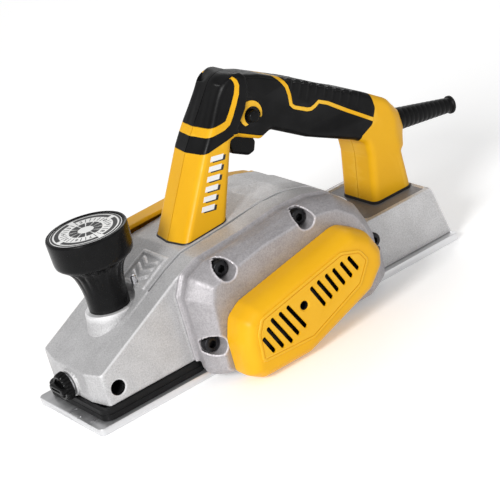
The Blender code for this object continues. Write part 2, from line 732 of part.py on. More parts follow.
def cutter_drum():
    """The drum with both its journals, turned about Y, and its two blade slots."""
    far, near = DRUM_HALF, -DRUM_HALF
    collar, lip, dish = 9.0, DRUM_RADIUS - 3, 1.5
    profile = [
        (0.0, 52.0), (SHAFT, 52.0), (SHAFT, far + 2), (collar, far + 2), (collar, far - dish),
        (lip, far - dish), (lip, far), (DRUM_RADIUS, far), (DRUM_RADIUS, near), (lip, near),
        (lip, near + dish), (collar, near + dish), (collar, near - 1.6), (SHAFT, near - 1.6),
        (SHAFT, -79.0), (0.0, -79.0),
    ]
    drum = turned("cutter_drum", profile, (DRUM_X, 0, DRUM_Z), ALONG_Y, "steel", 28)
    for side in (1, 2):
        half = DRUM_HALF
        slot = block(f"blade_slot_{side}", (14.6, -45, -0.3), (30, 45, 5.0))
        blade = block(f"blade_{side}", (17.4, -half, 0.0), (BLADE_REACH, half, 1.1), "steel")
        clamp = block(f"blade_clamp_{side}", (15, -half, 1.4), (21.2, half, 4.7), "blackened_steel")
        in_drum(side, slot, blade, clamp)
        cut(drum, slot)
    return drum


def in_drum(side, *pieces):
    """Turns pieces, made at the drum's axis, to their side of the drum."""
    for piece in pieces:
        piece.location = (DRUM_X * MM, 0, DRUM_Z * MM)
        piece.rotation_euler = (0, math.radians(35 + 180 * side), 0)


def bearing(name, axis, low):
    return tube(name, axis, BEARING_IN, BEARING_OUT, low, low + BEARING_WIDTH, "steel")


def drum_bearings():
    """Both of the drum's bearings, and the plate that holds the far one."""
    drum = (DRUM_X, DRUM_Z)
    bearing("drum_bearing_near", drum, -56.8)
    bearing("drum_bearing_far", drum, 44.8)
    low = FAR_FACE + GAP
    plate = rod("drum_bearing_plate", drum, 15.0, low, 54.5, "cast_aluminium", steps=24)
    for i, spot in enumerate(PLATE_SCREWS, 1):
        arm = slab(f"plate_arm_{i}", bar(drum, spot, 4.0), low + 0.2, 44.9)
        join(plate, arm, rod(f"plate_ear_{i}", spot, 4.5, low, 45.0, steps=12))
    cut(
        plate,
        rod("plate_seat", drum, BEARING_OUT + GAP, 44.5, 52.2),
        rod("plate_drum_side", drum, 10.0, 30, 45),
        *[rod(f"plate_hole_{i}", spot, 1.8, 30, 60, steps=8) for i, spot in enumerate(PLATE_SCREWS)],
    )
    for i, spot in enumerate(PLATE_SCREWS, 1):
        screw = rod(f"bearing_plate_screw_{i}", spot, 3.0, 45.3, 48, "steel", steps=12)
        join(screw, rod(f"plate_thread_{i}", spot, 1.5, 34, 46, steps=8))


# Motor.


def motor():
    """The universal motor: rotor with its commutator and fan, stator, bearings and brushes."""
    axis = (MOTOR_X, MOTOR_Z)
    origin = (MOTOR_X, 0, MOTOR_Z)
    axis_at(rod("motor_shaft", axis, SHAFT, -79, 58, "steel", steps=14), origin)
    axis_at(tube("armature_core", axis, SHAFT + GAP, 16.6, -13, 21, "laminations", 20), origin)
    axis_at(tube("commutator", axis, SHAFT + GAP, 9.6, 25, 39, "copper", 20), origin)
    axis_at(fan(axis), origin)
    tube("stator", axis, 17.4, MOTOR_BORE - 0.5, -14, 22, "laminations", 24)
    bearing("motor_bearing_near", axis, -33.2)
    bearing("motor_bearing_far", axis, 50.3)
    for i, side in enumerate((-1, 1), 1):
        inner, outer = sorted((MOTOR_X + side * 10.2, MOTOR_X + side * 27.0))
        low = (inner, 27.5, MOTOR_Z - 4)
        block(f"brush_holder_{i}", low, (outer, 36.5, MOTOR_Z + 4), "brass")


def fan(axis):
    """The cooling fan: a disc with a hub and straight vanes."""
    bore, low, high = SHAFT + GAP, -22.5, -15.5
    disc = tube("fan", axis, bore, 25.5, low - 0.7, low + 0.9, "black_plastic", 20)
    join(disc, tube("fan_hub", axis, bore, 7.5, low, high, "black_plastic", 20))
    for step in range(FAN_VANES):
        vane = block(f"fan_vane_{step}", (6.5, low, -0.8), (25, high, 0.8))
        vane.location = (axis[0] * MM, 0, axis[1] * MM)
        vane.rotation_euler = (0, 2 * math.pi * step / FAN_VANES, 0)
        join(disc, vane)
    return disc


def motor_cover():
    """The moulded cover on the far side, with the motor's rear bearing seat and its air vents."""
    face, rim = MOTOR_COVER_FACE, FAR_FACE + GAP
    cover = slab("motor_cover", rounded(MOTOR_COVER), rim, face, "yellow_plastic")
    bevel(cover, 6, 3, on_face(1, face))
    hollow = rounded(inset(MOTOR_COVER, MOTOR_COVER_WALL))
    cut(cover, slab("motor_cover_hollow", hollow, 30, face - MOTOR_COVER_WALL))
    axis = (MOTOR_X, MOTOR_Z)
    seat = rod("rear_seat", axis, 14.2, 49.8, 60.5, steps=20)
    bosses = [
        rod(f"cover_boss_{i}", spot, 4.6, rim, 60, steps=12)
        for i, spot in enumerate(COVER_SCREWS, 1)
    ]
    join(cover, seat, *bosses)
    holes = [
        rod(f"cover_bore_{i}", spot, 1.9, 30, PAST, steps=8)
        for i, spot in enumerate(COVER_SCREWS, 1)
    ]
    recesses = [
        rod(f"cover_recess_{i}", spot, 3.4, 57, PAST, steps=12)
        for i, spot in enumerate(COVER_SCREWS, 1)
    ]
    cut(
        cover,
        rod("rear_bearing_seat", axis, BEARING_OUT + GAP, 45, 58),
        rod("nozzle_hole", (NOZZLE_X, NOZZLE_Z), NOZZLE_OUT + 0.5, 50, PAST),
        *holes,
        *recesses,
        *motor_vents(),
    )
    for i, spot in enumerate(COVER_SCREWS, 1):
        screw = rod(f"motor_cover_screw_{i}", spot, 3.1, 57.3, 60, "blackened_steel", steps=12)
        join(screw, rod(f"motor_cover_thread_{i}", spot, 1.6, 31, 58, steps=8))
    return cover


def motor_vents():
    """Two rows of short upright slots beside the bearing."""
    width, pitch, half, count = 2.4, 4.6, 12.0, 4
    places = [first + pitch * step for first in (134.0, 185.5) for step in range(count)]
    return [
        block(f"vent_{i}", (x, 55, MOTOR_Z - half), (x + width, PAST, MOTOR_Z + half))
        for i, x in enumerate(places, 1)
    ]


def chip_nozzle():
    """The outlet that throws the chips out on the far side."""
    flange, foot = 12.0, FAR_FACE + GAP
    profile = [
        (NOZZLE_BORE, FAR_END), (NOZZLE_OUT, FAR_END), (NOZZLE_OUT, 46.0), (flange, 46.0),
        (flange, foot), (NOZZLE_BORE, foot),
    ]
    return turned("chip_nozzle", profile, (NOZZLE_X, 0, NOZZLE_Z), ALONG_Y, "black_plastic")


# Handle.


def handle_half(name, side, finish):
    """One half of the D-shaped handle as a solid, rounded along its outer edges, not at its feet."""
    near, far = sorted((side * SEAM, side * HANDLE_HALF))
    half = slab(name, rounded(HANDLE), near, far, finish)

    def outer_edges(middle, ends):
        on_side = all(abs(abs(end.y) - HANDLE_HALF) < 0.01 for end in ends)
        at_foot = any(abs(middle.z - level) < 0.3 for level in FOOT_LEVELS)
        return on_side and not at_foot

    return bevel(half, 4.5, 3, outer_edges)


def grip_region(name, side, grow, layer):
    """The zone that the rubber covers, less what lies deeper than one layer under the surface."""
    near, far = sorted((side * (SEAM - 0.1), side * 30))
    zone = slab(name, rounded(inset(GRIP_REGION, -grow)), near, far)
    core_half = HANDLE_HALF - layer
    core = slab(name + "_core", rounded(inset(HANDLE, layer)), -core_half, core_half)
    return cut(zone, core)


def handle():
    """Both moulded shells, the rubber over their grip, and the screws that close them."""
    for word, side in (("left", -1), ("right", 1)):
        shell = handle_half(f"handle_shell_{word}", side, "yellow_plastic")
        cut(shell, grip_region(f"skin_space_{word}", side, SEAM, SKIN + SEAM))
        hollow_half = HANDLE_HALF - WALL
        cut(shell, slab(f"hollow_{word}", rounded(inset(HANDLE, WALL)), -hollow_half, hollow_half))
        skin = handle_half(f"grip_overmould_{word}", side, "black_rubber")
        keep(skin, grip_region(f"skin_zone_{word}", side, -SEAM, SKIN - SEAM))
        join(shell, *screw_bosses(word, side))
        tools = handle_openings(word, side)
        cut(shell, *tools)
        cut(skin, *tools)
    handle_screws()


def screw_bosses(word, side):
    near, far = sorted((side * SEAM, side * 15.5))
    return [
        rod(f"handle_boss_{word}_{i}", spot, 4.4, near, far, steps=12)
        for i, spot in enumerate(HANDLE_SCREWS, 1)
    ]


def handle_openings(word, side):
    """The trigger slot, the cord guard's socket, the screw holes and the near half's button hole."""
    slot_half = TRIGGER_HALF + 0.7
    tools = [block(f"trigger_slot_{word}", (156.9, -slot_half, 100), (181.5, slot_half, 139.5))]
    for i, (radius, low, high) in enumerate(((8.2, -13, 12), (10.3, -8.3, -4.7))):
        socket = rod(f"guard_socket_{word}_{i}", (0, 0), radius, low, high, along="Z")
        tools.append(along_guard(socket))
    for i, spot in enumerate(HANDLE_SCREWS, 1):
        tools.append(rod(f"handle_hole_{word}_{i}", spot, 1.9, -12, 25, steps=8))
        if side > 0:
            tools.append(rod(f"handle_recess_{i}", spot, 3.4, 13.5, 25, steps=12))
    if side < 0:
        spot = (BUTTON_X, BUTTON_Z)
        tools.append(rod("button_hole", spot, BUTTON_RADIUS + 0.4, -25, -8, steps=14))
    return tools


def handle_screws():
    """The screws that go in from the far half into the near half's bosses."""
    for i, spot in enumerate(HANDLE_SCREWS, 1):
        screw = rod(f"handle_screw_{i}", spot, 3.0, 13.8, 16.2, "blackened_steel", steps=12)
        join(screw, rod(f"handle_thread_{i}", spot, 1.6, -11, 15, steps=8))


def along_guard(obj):
    """Turns a piece made along Z to lie on the cord guard's axis."""
    obj.location = Vector(GUARD_BASE) * MM
    obj.rotation_euler = (0, math.pi / 2 + GUARD_DROP, 0)
    return obj


def cord_guard():
    """The rubber guard that the cord comes out of. Its cord is left out."""
    end = GUARD_LENGTH
    profile = [
        (3.4, end), (6.25, end), (6.25, end - 2.2), (5.2, end - 2.6), (7.8, 0.0), (7.8, -5.0),
        (10.0, -5.0), (10.0, -8.0), (7.0, -8.0), (7.0, -10.0), (3.4, -10.0),
    ]
    guard = turned("cord_guard", profile, (0, 0, 0), (0, 0, 0), "black_rubber", 18)
    return along_guard(guard)


def switch_parts():
    """The switch with its trigger and lock button, and the clamp on the cord's way in."""
    block("switch_body", (182.5, -8, 126.5), (200, 8, 145.5), "black_plastic")
    block("cord_clamp", (257, -8, 88), (268, 8, 92), "black_plastic")
    trigger = slab("trigger", rounded(TRIGGER), -TRIGGER_HALF, TRIGGER_HALF, "black_plastic")
    axis_at(trigger, (TRIGGER_PIVOT[0], 0, TRIGGER_PIVOT[1]))
    spot = (BUTTON_X, BUTTON_Z)
    button = rod("lock_button", spot, BUTTON_RADIUS, -21.6, -10, "black_plastic", steps=14)
    join(button, rod("button_flange", spot, 5.2, -13.5, -12, steps=14))
    axis_at(button, (BUTTON_X, -21.6, BUTTON_Z))


def shade():
    """Smooth shading that keeps real edges sharp."""
    for obj in PARTS.objects:
        if obj.type == "MESH":
            obj.data.shade_smooth()
            obj.data.set_sharp_from_angle(angle=SMOOTH_ANGLE)


def build():
    scene = bpy.context.scene.collection
    scene.children.link(PARTS)
    scene.children.link(TOOLS)
    PARTS.objects.link(ROOT)
    ROOT.location = (-(FRONT_END + REAR_END) / 2 * MM, -(NEAR_END + FAR_END) / 2 * MM, 0)
    make_materials()
    main_frame()
    front_base()
    rear_base()
    front_base_seal()
    depth_knob()
    depth_dial()
    depth_spindle()
    depth_spring()
    index_pin()
    fence_clamp()
    belt_housing()
    belt_cover()
    belt_drive()
    cutter_drum()
    drum_bearings()
    motor()
    motor_cover()
    chip_nozzle()
    handle()
    switch_parts()
    cord_guard()
    shade()


build()
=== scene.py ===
"""The looks of an electric hand planer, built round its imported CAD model.

Every piece is drawn in millimetres in the machine's own frame, as the CAD is: X runs from the front
edge of the front shoe to the rear, Y is 0 on the centre line with the belt side at -Y, and Z is 0
at the sole. mount moves a piece from there to its place in metres.
"""

import json
from math import atan2, ceil, cos, pi, radians, sin, tan

import bmesh
import bpy
import numpy as np
from mathutils import Matrix, Vector


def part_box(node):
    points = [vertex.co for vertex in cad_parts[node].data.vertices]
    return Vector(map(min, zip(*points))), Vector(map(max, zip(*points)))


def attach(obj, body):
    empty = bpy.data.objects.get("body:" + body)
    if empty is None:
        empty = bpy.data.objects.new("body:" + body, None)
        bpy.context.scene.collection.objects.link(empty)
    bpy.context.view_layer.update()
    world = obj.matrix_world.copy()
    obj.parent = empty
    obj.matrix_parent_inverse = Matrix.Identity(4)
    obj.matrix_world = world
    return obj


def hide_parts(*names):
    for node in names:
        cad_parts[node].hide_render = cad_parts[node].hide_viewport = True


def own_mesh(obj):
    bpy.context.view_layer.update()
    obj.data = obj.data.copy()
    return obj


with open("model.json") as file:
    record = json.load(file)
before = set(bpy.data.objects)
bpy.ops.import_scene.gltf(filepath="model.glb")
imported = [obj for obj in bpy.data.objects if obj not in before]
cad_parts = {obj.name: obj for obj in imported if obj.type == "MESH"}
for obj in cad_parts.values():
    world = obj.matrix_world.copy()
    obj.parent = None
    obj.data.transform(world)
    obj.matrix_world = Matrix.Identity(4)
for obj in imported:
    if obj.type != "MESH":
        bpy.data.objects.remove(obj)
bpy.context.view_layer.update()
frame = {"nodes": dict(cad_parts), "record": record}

BASE_LOW, BASE_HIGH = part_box("front_base")
AT_FRONT_EDGE = Matrix.Translation((BASE_LOW.x, (BASE_LOW.y + BASE_HIGH.y) / 2, 0))
TO_WORLD = AT_FRONT_EDGE @ Matrix.Scale(0.001, 4)

PAST = 100
ARC_STEP = radians(8)
SHARP = radians(35)
VOXEL = 0.7

# Outlines: (x, z, corner radius).
DOME_TOP = (
    (83, 72.5, 5), (97, 78, 4), (133, 80.5, 0), (161, 84, 15), (182, 83, 12),
    (199, 78, 10), (214, 66, 10), (221.5, 50, 6),
)
REAR_BODY = ((223.5, 42, 0), (281, 42, 1), (289, 5.6, 0), (125, 5.6, 0), (125, 13.8, 0))
HOUSING = (
    (76.3, 4, 7), (76.3, 60, 0), *DOME_TOP[:6], (213, 64.5, 10), (219, 50, 6),
    (222, 37, 4), (225, 27, 4), (224, 8, 3), (205, 4.5, 2), (92, 4, 3),
)
HOUSING_FLAT = (
    (85, 8, 5), (87.5, 54, 0), (91.5, 64.5, 5), (99.5, 67.7, 6), (133, 74.4, 0),
    (158, 76, 15), (176, 75.4, 12), (191, 72.4, 10), (202, 63, 10), (207.5, 52, 6),
    (210, 38, 3), (209.5, 28, 4), (207.5, 12, 4), (200, 7, 3), (95, 6, 3),
)
COVER = (
    (89.2, 7, 4), (89.6, 30, 8), (94.2, 43.4, 8), (104, 49.6, 10), (184.5, 65.4, 12),
    (198.5, 56.5, 10), (204.8, 43, 9), (202.5, 32, 8), (190, 19.4, 9), (135, 0.8, 5),
    (99, 0.8, 4),
)
COVER_PANEL = (
    (97.8, 14.4, 3), (99.4, 33, 5), (104.5, 42.3, 5), (171.4, 56.2, 8), (185.3, 51.5, 6),
    (190, 42.8, 4), (180.1, 29.1, 6), (137.5, 12.4, 4),
)
MOTOR_COVER = (
    (76.3, 5, 6), (76.3, 61.5, 3), (83.5, 76, 6), (97.5, 82, 4), (133.5, 83, 0),
    (161.5, 83.4, 15), (182, 80.6, 12), (198.5, 75.6, 10), (213, 63.5, 10), (220.5, 48, 8),
    (222, 30, 8), (210, 6, 8),
)
HANDLE = (
    (96, 71, 0), (132, 129.5, 10), (165.5, 170, 14), (189, 161, 10), (220, 144, 0),
    (248, 126, 0), (278, 105, 12), (291, 91, 5), (293, 78, 3), (288, 69, 2),
    (279, 66.5, 2), (279, 34, 0), (245.6, 34, 0), (253, 73, 5), (253, 83, 4),
    (246, 88.5, 3), (211, 106, 0), (187, 121.6, 4), (178, 118.8, 2), (160, 128.3, 3),
    (155.8, 127.5, 2), (134.2, 74, 0),
)
GRIP_REGION = (
    (112, 127.3, 0), (137, 127.8, 0), (158, 130.8, 0), (160, 115, 0), (185, 100, 0),
    (243, 80, 0), (250.5, 90.5, 0), (260, 94.5, 4), (265, 104, 4), (264, 125, 0),
    (200, 190, 0), (112, 190, 0),
)
TRIGGER = (
    (158.6, 134, 2), (160, 115, 2), (171, 109, 3), (176, 110, 2), (178.5, 116, 2),
    (176, 124, 2), (168, 134, 2),
)
NOSE_HOLLOW = ((36, 10, 0), (36, 41, 4), (72, 60, 4), (72, 10, 0))
BOLTS = ((103.8, 70.1), (83.3, 27.1), (166.8, 76.3), (219.8, 33.6))
BOLT_FACES = (-54.5, -54.5, -54.5, -49)
COVER_SCREW = (136.5, 35.7)
CLAMP = (0, 23)
FENCE_ROD = (21.9, 23)
NOZZLE = (92, 44.5)
STOP_PIN = (69, -3)
SOLE_SCREWS = ((215, -25), (215, 25))
SOLE_HALF = 41
MOTOR_SCREWS = ((100, 68), (205, 66), (157, 13))
HANDLE_SCREWS = ((126, 96), (158.5, 146), (228, 117), (261, 62))
KNOB = (49.6, 0)
BUTTON = (174.8, 136.9)
DRUM, MOTOR = (113, 23.5), (168, 46)
GUARD = Matrix.Translation((291, 0, 81.7)) @ Matrix.Rotation(pi / 2 + radians(10.8), 4, "Y")


# Outlines.


def directions(corners, index):
    corner = Vector(corners[index][:2])
    back = (Vector(corners[index - 1][:2]) - corner).normalized()
    onward = (Vector(corners[(index + 1) % len(corners)][:2]) - corner).normalized()
    return back, onward


def arc_counts(corners):
    counts = []
    for index, (_, _, radius) in enumerate(corners):
        back, onward = directions(corners, index)
        turn = pi - back.angle(onward)
        counts.append(max(2, ceil(turn / ARC_STEP)) if radius else 0)
    return counts


def rounded(corners, counts=None):
    """The outline through (a, b, radius) corners. counts fixes the steps in each corner's arc."""
    counts = counts or arc_counts(corners)
    outline = []
    for index, (a, b, radius) in enumerate(corners):
        corner = Vector((a, b))
        if not counts[index]:
            outline.append(corner)
            continue
        back, onward = directions(corners, index)
        half = back.angle(onward) / 2
        radius = max(radius, 0.2)
        centre = corner + (back + onward).normalized() * (radius / sin(half))
        start = (corner + back * (radius / tan(half)) - centre).normalized()
        end = (corner + onward * (radius / tan(half)) - centre).normalized()
        steps = counts[index]
        for step in range(steps + 1):
            outline.append(centre + start.slerp(end, step / steps).normalized() * radius)
    return outline


def inset(corners, distance):
    """The corners with every side moved inwards by distance."""
    area = sum(a[0] * b[1] - b[0] * a[1] for a, b in zip(corners, (*corners[1:], corners[0])))
    side = 1 if area > 0 else -1
    moved = []
    for index, (a, b, radius) in enumerate(corners):
        back, onward = directions(corners, index)
        along = -back
        inward = Vector((-along.y, along.x)) * side
        inward_next = Vector((-onward.y, onward.x)) * side
        reach = (inward + inward_next) / (1 + inward.dot(inward_next)) * distance
        convex = along.cross(onward) * side > 0
        if radius:
            radius = max(radius - distance, 0.3) if convex else radius + distance
        moved.append((a + reach.x, b + reach.y, radius))
    return tuple(moved)


def raised(corners, rise):
    return tuple((a, b + rise, radius) for a, b, radius in corners)


def blended(first, second, share):
    return tuple(
        tuple(p + (q - p) * share for p, q in zip(one, other)) for one, other in zip(first, second)
    )


def circle(a, b, radius, steps=48):
    turn = 2 * pi / steps
    return [(a + radius * cos(turn * k), b + radius * sin(turn * k)) for k in range(steps)]


def rectangle(low_a, low_b, high_a, high_b, radius=0):
    corners = ((low_a, low_b), (high_a, low_b), (high_a, high_b), (low_a, high_b))
    return tuple((a, b, radius) for a, b in corners)


def stadium(start, end, half, steps=8):
    """The outline of a slot with round ends."""
    first, last = Vector(start), Vector(end)
    heading = atan2(last.y - first.y, last.x - first.x)
    outline = []
    for centre, turn in ((last, heading - pi / 2), (first, heading + pi / 2)):
        for step in range(steps + 1):
            angle = turn + pi * step / steps
            outline.append((centre.x + half * cos(angle), centre.y + half * sin(angle)))
    return outline


def band(path, widths):
    """The outline of a strip along a path, with a width at each of its points."""
    points = [Vector(point) for point in path]
    sides = ([], [])
    for index, point in enumerate(points):
        along = (points[min(index + 1, len(points) - 1)] - points[max(index - 1, 0)]).normalized()
        across = Vector((-along.y, along.x)) * widths[index] / 2
        sides[0].append(point + across)
        sides[1].append(point - across)
    return sides[0] + sides[1][::-1]


# Meshes.


def spot(along, a, b, level):
    return {"X": (level, a, b), "Y": (a, level, b), "Z": (a, b, level)}[along]


def placed(name, data):
    obj = bpy.data.objects.new(name, data)
    bpy.context.scene.collection.objects.link(obj)
    return obj


def as_object(name, made):
    bmesh.ops.recalc_face_normals(made, faces=made.faces)
    mesh = bpy.data.meshes.new(name)
    made.to_mesh(mesh)
    made.free()
    return placed(name, mesh)


def skin(made, rings):
    """Closes rings of vertices into a solid, with a face over each end."""
    for low, high in zip(rings, rings[1:]):
        for i in range(len(low)):
            j = (i + 1) % len(low)
            made.faces.new((low[i], low[j], high[j], high[i]))
    made.faces.new(rings[0])
    made.faces.new(rings[-1])


def loft(name, sections, along="Y"):
    """A closed solid through (outline, level) sections that have the same number of points."""
    made = bmesh.new()
    rings = []
    for outline, level in sections:
        rings.append([made.verts.new(spot(along, a, b, level)) for a, b in outline])
    skin(made, rings)
    return as_object(name, made)


def nested(name, corners, steps, along="Y"):
    """A closed solid of one outline at several (inset, level) steps."""
    counts = arc_counts(corners)
    sections = [(rounded(inset(corners, distance), counts), level) for distance, level in steps]
    return loft(name, sections, along)


def quarter(draw, base, rise, steps):
    """(inset, level) steps round a quarter turn, which closes in by draw over a rise from base."""
    turns = [pi / 2 * step / steps for step in range(steps + 1)]
    return [(draw * (1 - cos(turn)), base + rise * sin(turn)) for turn in turns]


def prism(name, outline, low, high, along="Y"):
    """A bar with one outline all along it. Corners that come with a radius are rounded."""
    if len(outline[0]) == 3:
        outline = rounded(outline)
    return loft(name, [(outline, low), (outline, high)], along)


def block(name, low, high):
    return prism(name, rectangle(low[0], low[2], high[0], high[2]), low[1], high[1])


def rod(name, centre, radius, low, high, along="Y", steps=48, tip=None):
    """A round bar between two levels, which narrows or widens to the radius tip if it has one."""
    tip = radius if tip is None else tip
    ends = (circle(*centre, radius, steps), low), (circle(*centre, tip, steps), high)
    return loft(name, ends, along)


def rods(name, places, radius, low, high):
    return [rod(f"{name}_{i}", place, radius, low, high) for i, place in enumerate(places)]


def cushioned(name, corners, low, high, edge, along="Y", both=True):
    """A slab whose long edges are rounded over with the radius edge, at its low face or at both."""
    far_end = quarter(edge, high - edge, edge, 4) if both else [(0, high)]
    return nested(name, corners, quarter(edge, low + edge, -edge, 4)[::-1] + far_end, along)


def revolved(name, profile, centre=(0, 0), along="Z", steps=72, ripple=None):
    """A solid turned from (radius, height) points.

    ripple(angle, radius, height) gives another radius.
    """
    made = bmesh.new()
    rings = []
    for radius, height in profile:
        if radius == 0:
            rings.append([made.verts.new(spot(along, *centre, height))])
            continue
        ring = []
        for step in range(steps):
            angle = 2 * pi * step / steps
            reach = ripple(angle, radius, height) if ripple else radius
            ring.append(made.verts.new(spot(
                along, centre[0] + reach * cos(angle), centre[1] + reach * sin(angle), height
            )))
        rings.append(ring)
    closed = profile[0][0] > 0
    pairs = list(zip(rings, rings[1:])) + ([(rings[-1], rings[0])] if closed else [])
    for low, high in pairs:
        for i in range(steps):
            j = (i + 1) % steps
            corners = [low[i % len(low)], low[j % len(low)]]
            corners += [high[j % len(high)], high[i % len(high)]]
            made.faces.new(list(dict.fromkeys(corners)))
    return as_object(name, made)


def settle(obj):
    """Puts the result of the modifiers into the mesh."""
    shape = obj.evaluated_get(bpy.context.evaluated_depsgraph_get())
    mesh = bpy.data.meshes.new_from_object(shape)
    old = obj.data
    obj.modifiers.clear()
    obj.data = mesh
    bpy.data.meshes.remove(old)
    return obj


def modify(obj, kind, **settings):
    step = obj.modifiers.new(kind, kind)
    for name, value in settings.items():
        setattr(step, name, value)


def combine(target, operation, tools):
    for tool in tools:
        modify(target, "BOOLEAN", operation=operation, solver="MANIFOLD", object=tool)
    settle(target)
    for tool in tools:
        bpy.data.objects.remove(tool)
    return target


def cut(target, *tools):
    return combine(target, "DIFFERENCE", tools)


def join(target, *tools):
    return combine(target, "UNION", tools)


def keep(target, *tools):
    return combine(target, "INTERSECT", tools)


def copied(obj, name):
    return placed(name, obj.data.copy())


def soften(obj, passes=2, voxel=VOXEL):
    """Rounds every edge a little, as casting and moulding do."""
    modify(obj, "REMESH", mode="VOXEL", voxel_size=voxel)
    modify(obj, "SMOOTH", iterations=passes)
    return settle(obj)


def thin(obj, ratio):
    """Fewer faces where the surface is nearly flat."""
    modify(obj, "DECIMATE", ratio=ratio)
    return settle(obj)


def eased(obj, width):
    """Small bevels on the sharp edges."""
    modify(obj, "BEVEL", width=width, segments=2, limit_method="ANGLE", angle_limit=radians(30))
    return settle(obj)


def reshape(obj, move):
    """Moves the vertices by move(points, normals), which returns their shifts in mm."""
    mesh = obj.data
    count = len(mesh.vertices)
    points = np.empty(count * 3, np.float32)
    normals = np.empty(count * 3, np.float32)
    mesh.vertices.foreach_get("co", points)
    mesh.vertex_normals.foreach_get("vector", normals)
    points, normals = points.reshape(-1, 3), normals.reshape(-1, 3)
    mesh.vertices.foreach_set("co", (points + move(points, normals)).astype(np.float32).ravel())
    mesh.update()
    return obj


def ramp(value, low, high):
    """0 below low, 1 above high, and smooth between them."""
    share = np.clip((value - low) / (high - low), 0, 1)
    return share * share * (3 - 2 * share)


def between(value, low, high, soft=0.7):
    """1 from low to high and 0 outside, over a soft step at each."""
    half = soft / 2
    return ramp(value, low - half, low + half) * (1 - ramp(value, high - half, high + half))


def mount(obj, finish, *nodes, body="frame", slot=None):
    """Puts a piece in place in metres, with its finish and body, for the nodes it stands for."""
    obj.data.transform(TO_WORLD)
    obj.data.materials.clear()
    obj.data.materials.append(FINISHES[finish])
    obj.data.shade_smooth()
    obj.data.set_sharp_from_angle(angle=SHARP)
    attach(obj, body)
    if nodes:
        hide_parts(*nodes)
    return obj


# Finishes.


FINISHES = {}


class Finish:
    """A material while its nodes are put together. Sizes are in mm on the object."""

    def __init__(self, name, colour, roughness, metallic=0):
        self.material = FINISHES[name] = bpy.data.materials.new(name)
        self.material.use_nodes = True
        self.nodes = self.material.node_tree.nodes
        self.surface = self.nodes["Principled BSDF"]
        self.surface.inputs["Base Color"].default_value = (*colour, 1)
        self.surface.inputs["Roughness"].default_value = roughness
        self.surface.inputs["Metallic"].default_value = metallic
        self.colour = colour
        self.coords = self.nodes.new("ShaderNodeTexCoord").outputs["Object"]
        self.relief = None
        self.tint = None

    def link(self, out, socket):
        self.material.node_tree.links.new(out, socket)

    def node(self, kind, numbers):
        made = self.nodes.new("ShaderNode" + kind)
        for socket, number in numbers.items():
            made.inputs[socket].default_value = number
        return made

    def noise(self, size, detail=3, stretch=(1, 1, 1), distortion=0):
        place = self.node("Mapping", {"Scale": stretch})
        self.link(self.coords, place.inputs["Vector"])
        numbers = {"Scale": 1000 / size, "Detail": detail, "Distortion": distortion}
        made = self.node("TexNoise", numbers)
        self.link(place.outputs["Vector"], made.inputs["Vector"])
        return made.outputs["Fac"]

    def cells(self, size):
        made = self.node("TexVoronoi", {"Scale": 1000 / size})
        self.link(self.coords, made.inputs["Vector"])
        return made.outputs["Distance"]

    def spread(self, value, low, high, to_low=0, to_high=1):
        ends = {"From Min": low, "From Max": high, "To Min": to_low, "To Max": to_high}
        made = self.node("MapRange", ends)
        self.link(value, made.inputs["Value"])
        return made.outputs["Result"]

    def stain(self, value, colour):
        """Mixes in another colour where value is high."""
        mix = self.node("Mix", {6: (*self.colour, 1), 7: (*colour, 1)})
        mix.data_type = "RGBA"
        if self.tint:
            self.link(self.tint, mix.inputs[6])
        self.link(value, mix.inputs[0])
        self.tint = mix.outputs[2]
        self.link(self.tint, self.surface.inputs["Base Color"])
        return self

    def bump(self, value, depth, strength):
        made = self.node("Bump", {"Strength": strength, "Distance": depth / 1000})
        self.link(value, made.inputs["Height"])
        if self.relief:
            self.link(self.relief, made.inputs["Normal"])
        self.relief = made.outputs["Normal"]
        self.link(self.relief, self.surface.inputs["Normal"])
        return self

    def gloss(self, value, low, high):
        self.link(self.spread(value, 0.3, 0.7, low, high), self.surface.inputs["Roughness"])
        return self

    def edges(self, colour, low, high, share):
        """Paints a highlight, with some wear, onto the outer edges, or painted shade into the inner
        corners if high is below low.
        """
        shape = self.nodes.new("ShaderNodeNewGeometry")
        return self.stain(self.spread(shape.outputs["Pointiness"], low, high, 0, share), colour)

    def hollows(self, colour, share):
        """Darkens the inner corners with painted shade."""
        return self.edges(colour, 0.48, 0.42, share)


def scaled(colour, factor):
    return tuple(min(1, c * factor) for c in colour)


def cast_finish(name, colour, swirl=0):
    made = Finish(name, colour, 0.5, 0.4)
    pale, deep = scaled(colour, 1.3), scaled(colour, 0.62)
    grain, patches = made.noise(0.9, 4), made.noise(14, 3)
    made.stain(made.spread(patches, 0.35, 0.7, 0, 0.35), deep)
    made.stain(made.spread(grain, 0.5, 0.72, 0, 0.5), pale)
    made.stain(made.spread(grain, 0.48, 0.3, 0, 0.55), deep)
    if swirl:
        made.stain(made.spread(made.noise(4.5, 3, distortion=2), 0.45, 0.7, 0, swirl), deep)
    # Painted highlight, with some wear, on the outer edges.
    made.edges(scaled(colour, 1.7), 0.51, 0.56, 0.75)
    # Painted shade in the inner corners.
    made.hollows(scaled(colour, 0.35), 0.6)
    made.bump(grain, 0.16, 0.6).bump(made.noise(0.35, 2), 0.05, 0.5).bump(patches, 0.25, 0.2)
    made.gloss(made.noise(2.5, 3), 0.42, 0.6)


def machined_finish():
    made = Finish("machined_aluminium", (0.6, 0.6, 0.61), 0.3, 0.85)
    lines, wide = made.noise(0.9, 3, (0.03, 1, 1)), made.noise(5, 2, (0.05, 1, 1))
    made.stain(made.spread(lines, 0.4, 0.65, 0, 0.4), (0.5, 0.5, 0.52))
    made.stain(made.spread(wide, 0.45, 0.7, 0, 0.3), (0.85, 0.85, 0.86))
    # Painted highlight, with some wear, on the outer edges.
    made.edges((0.92, 0.92, 0.93), 0.51, 0.56, 0.6)
    made.bump(lines, 0.04, 0.5).gloss(wide, 0.24, 0.42)


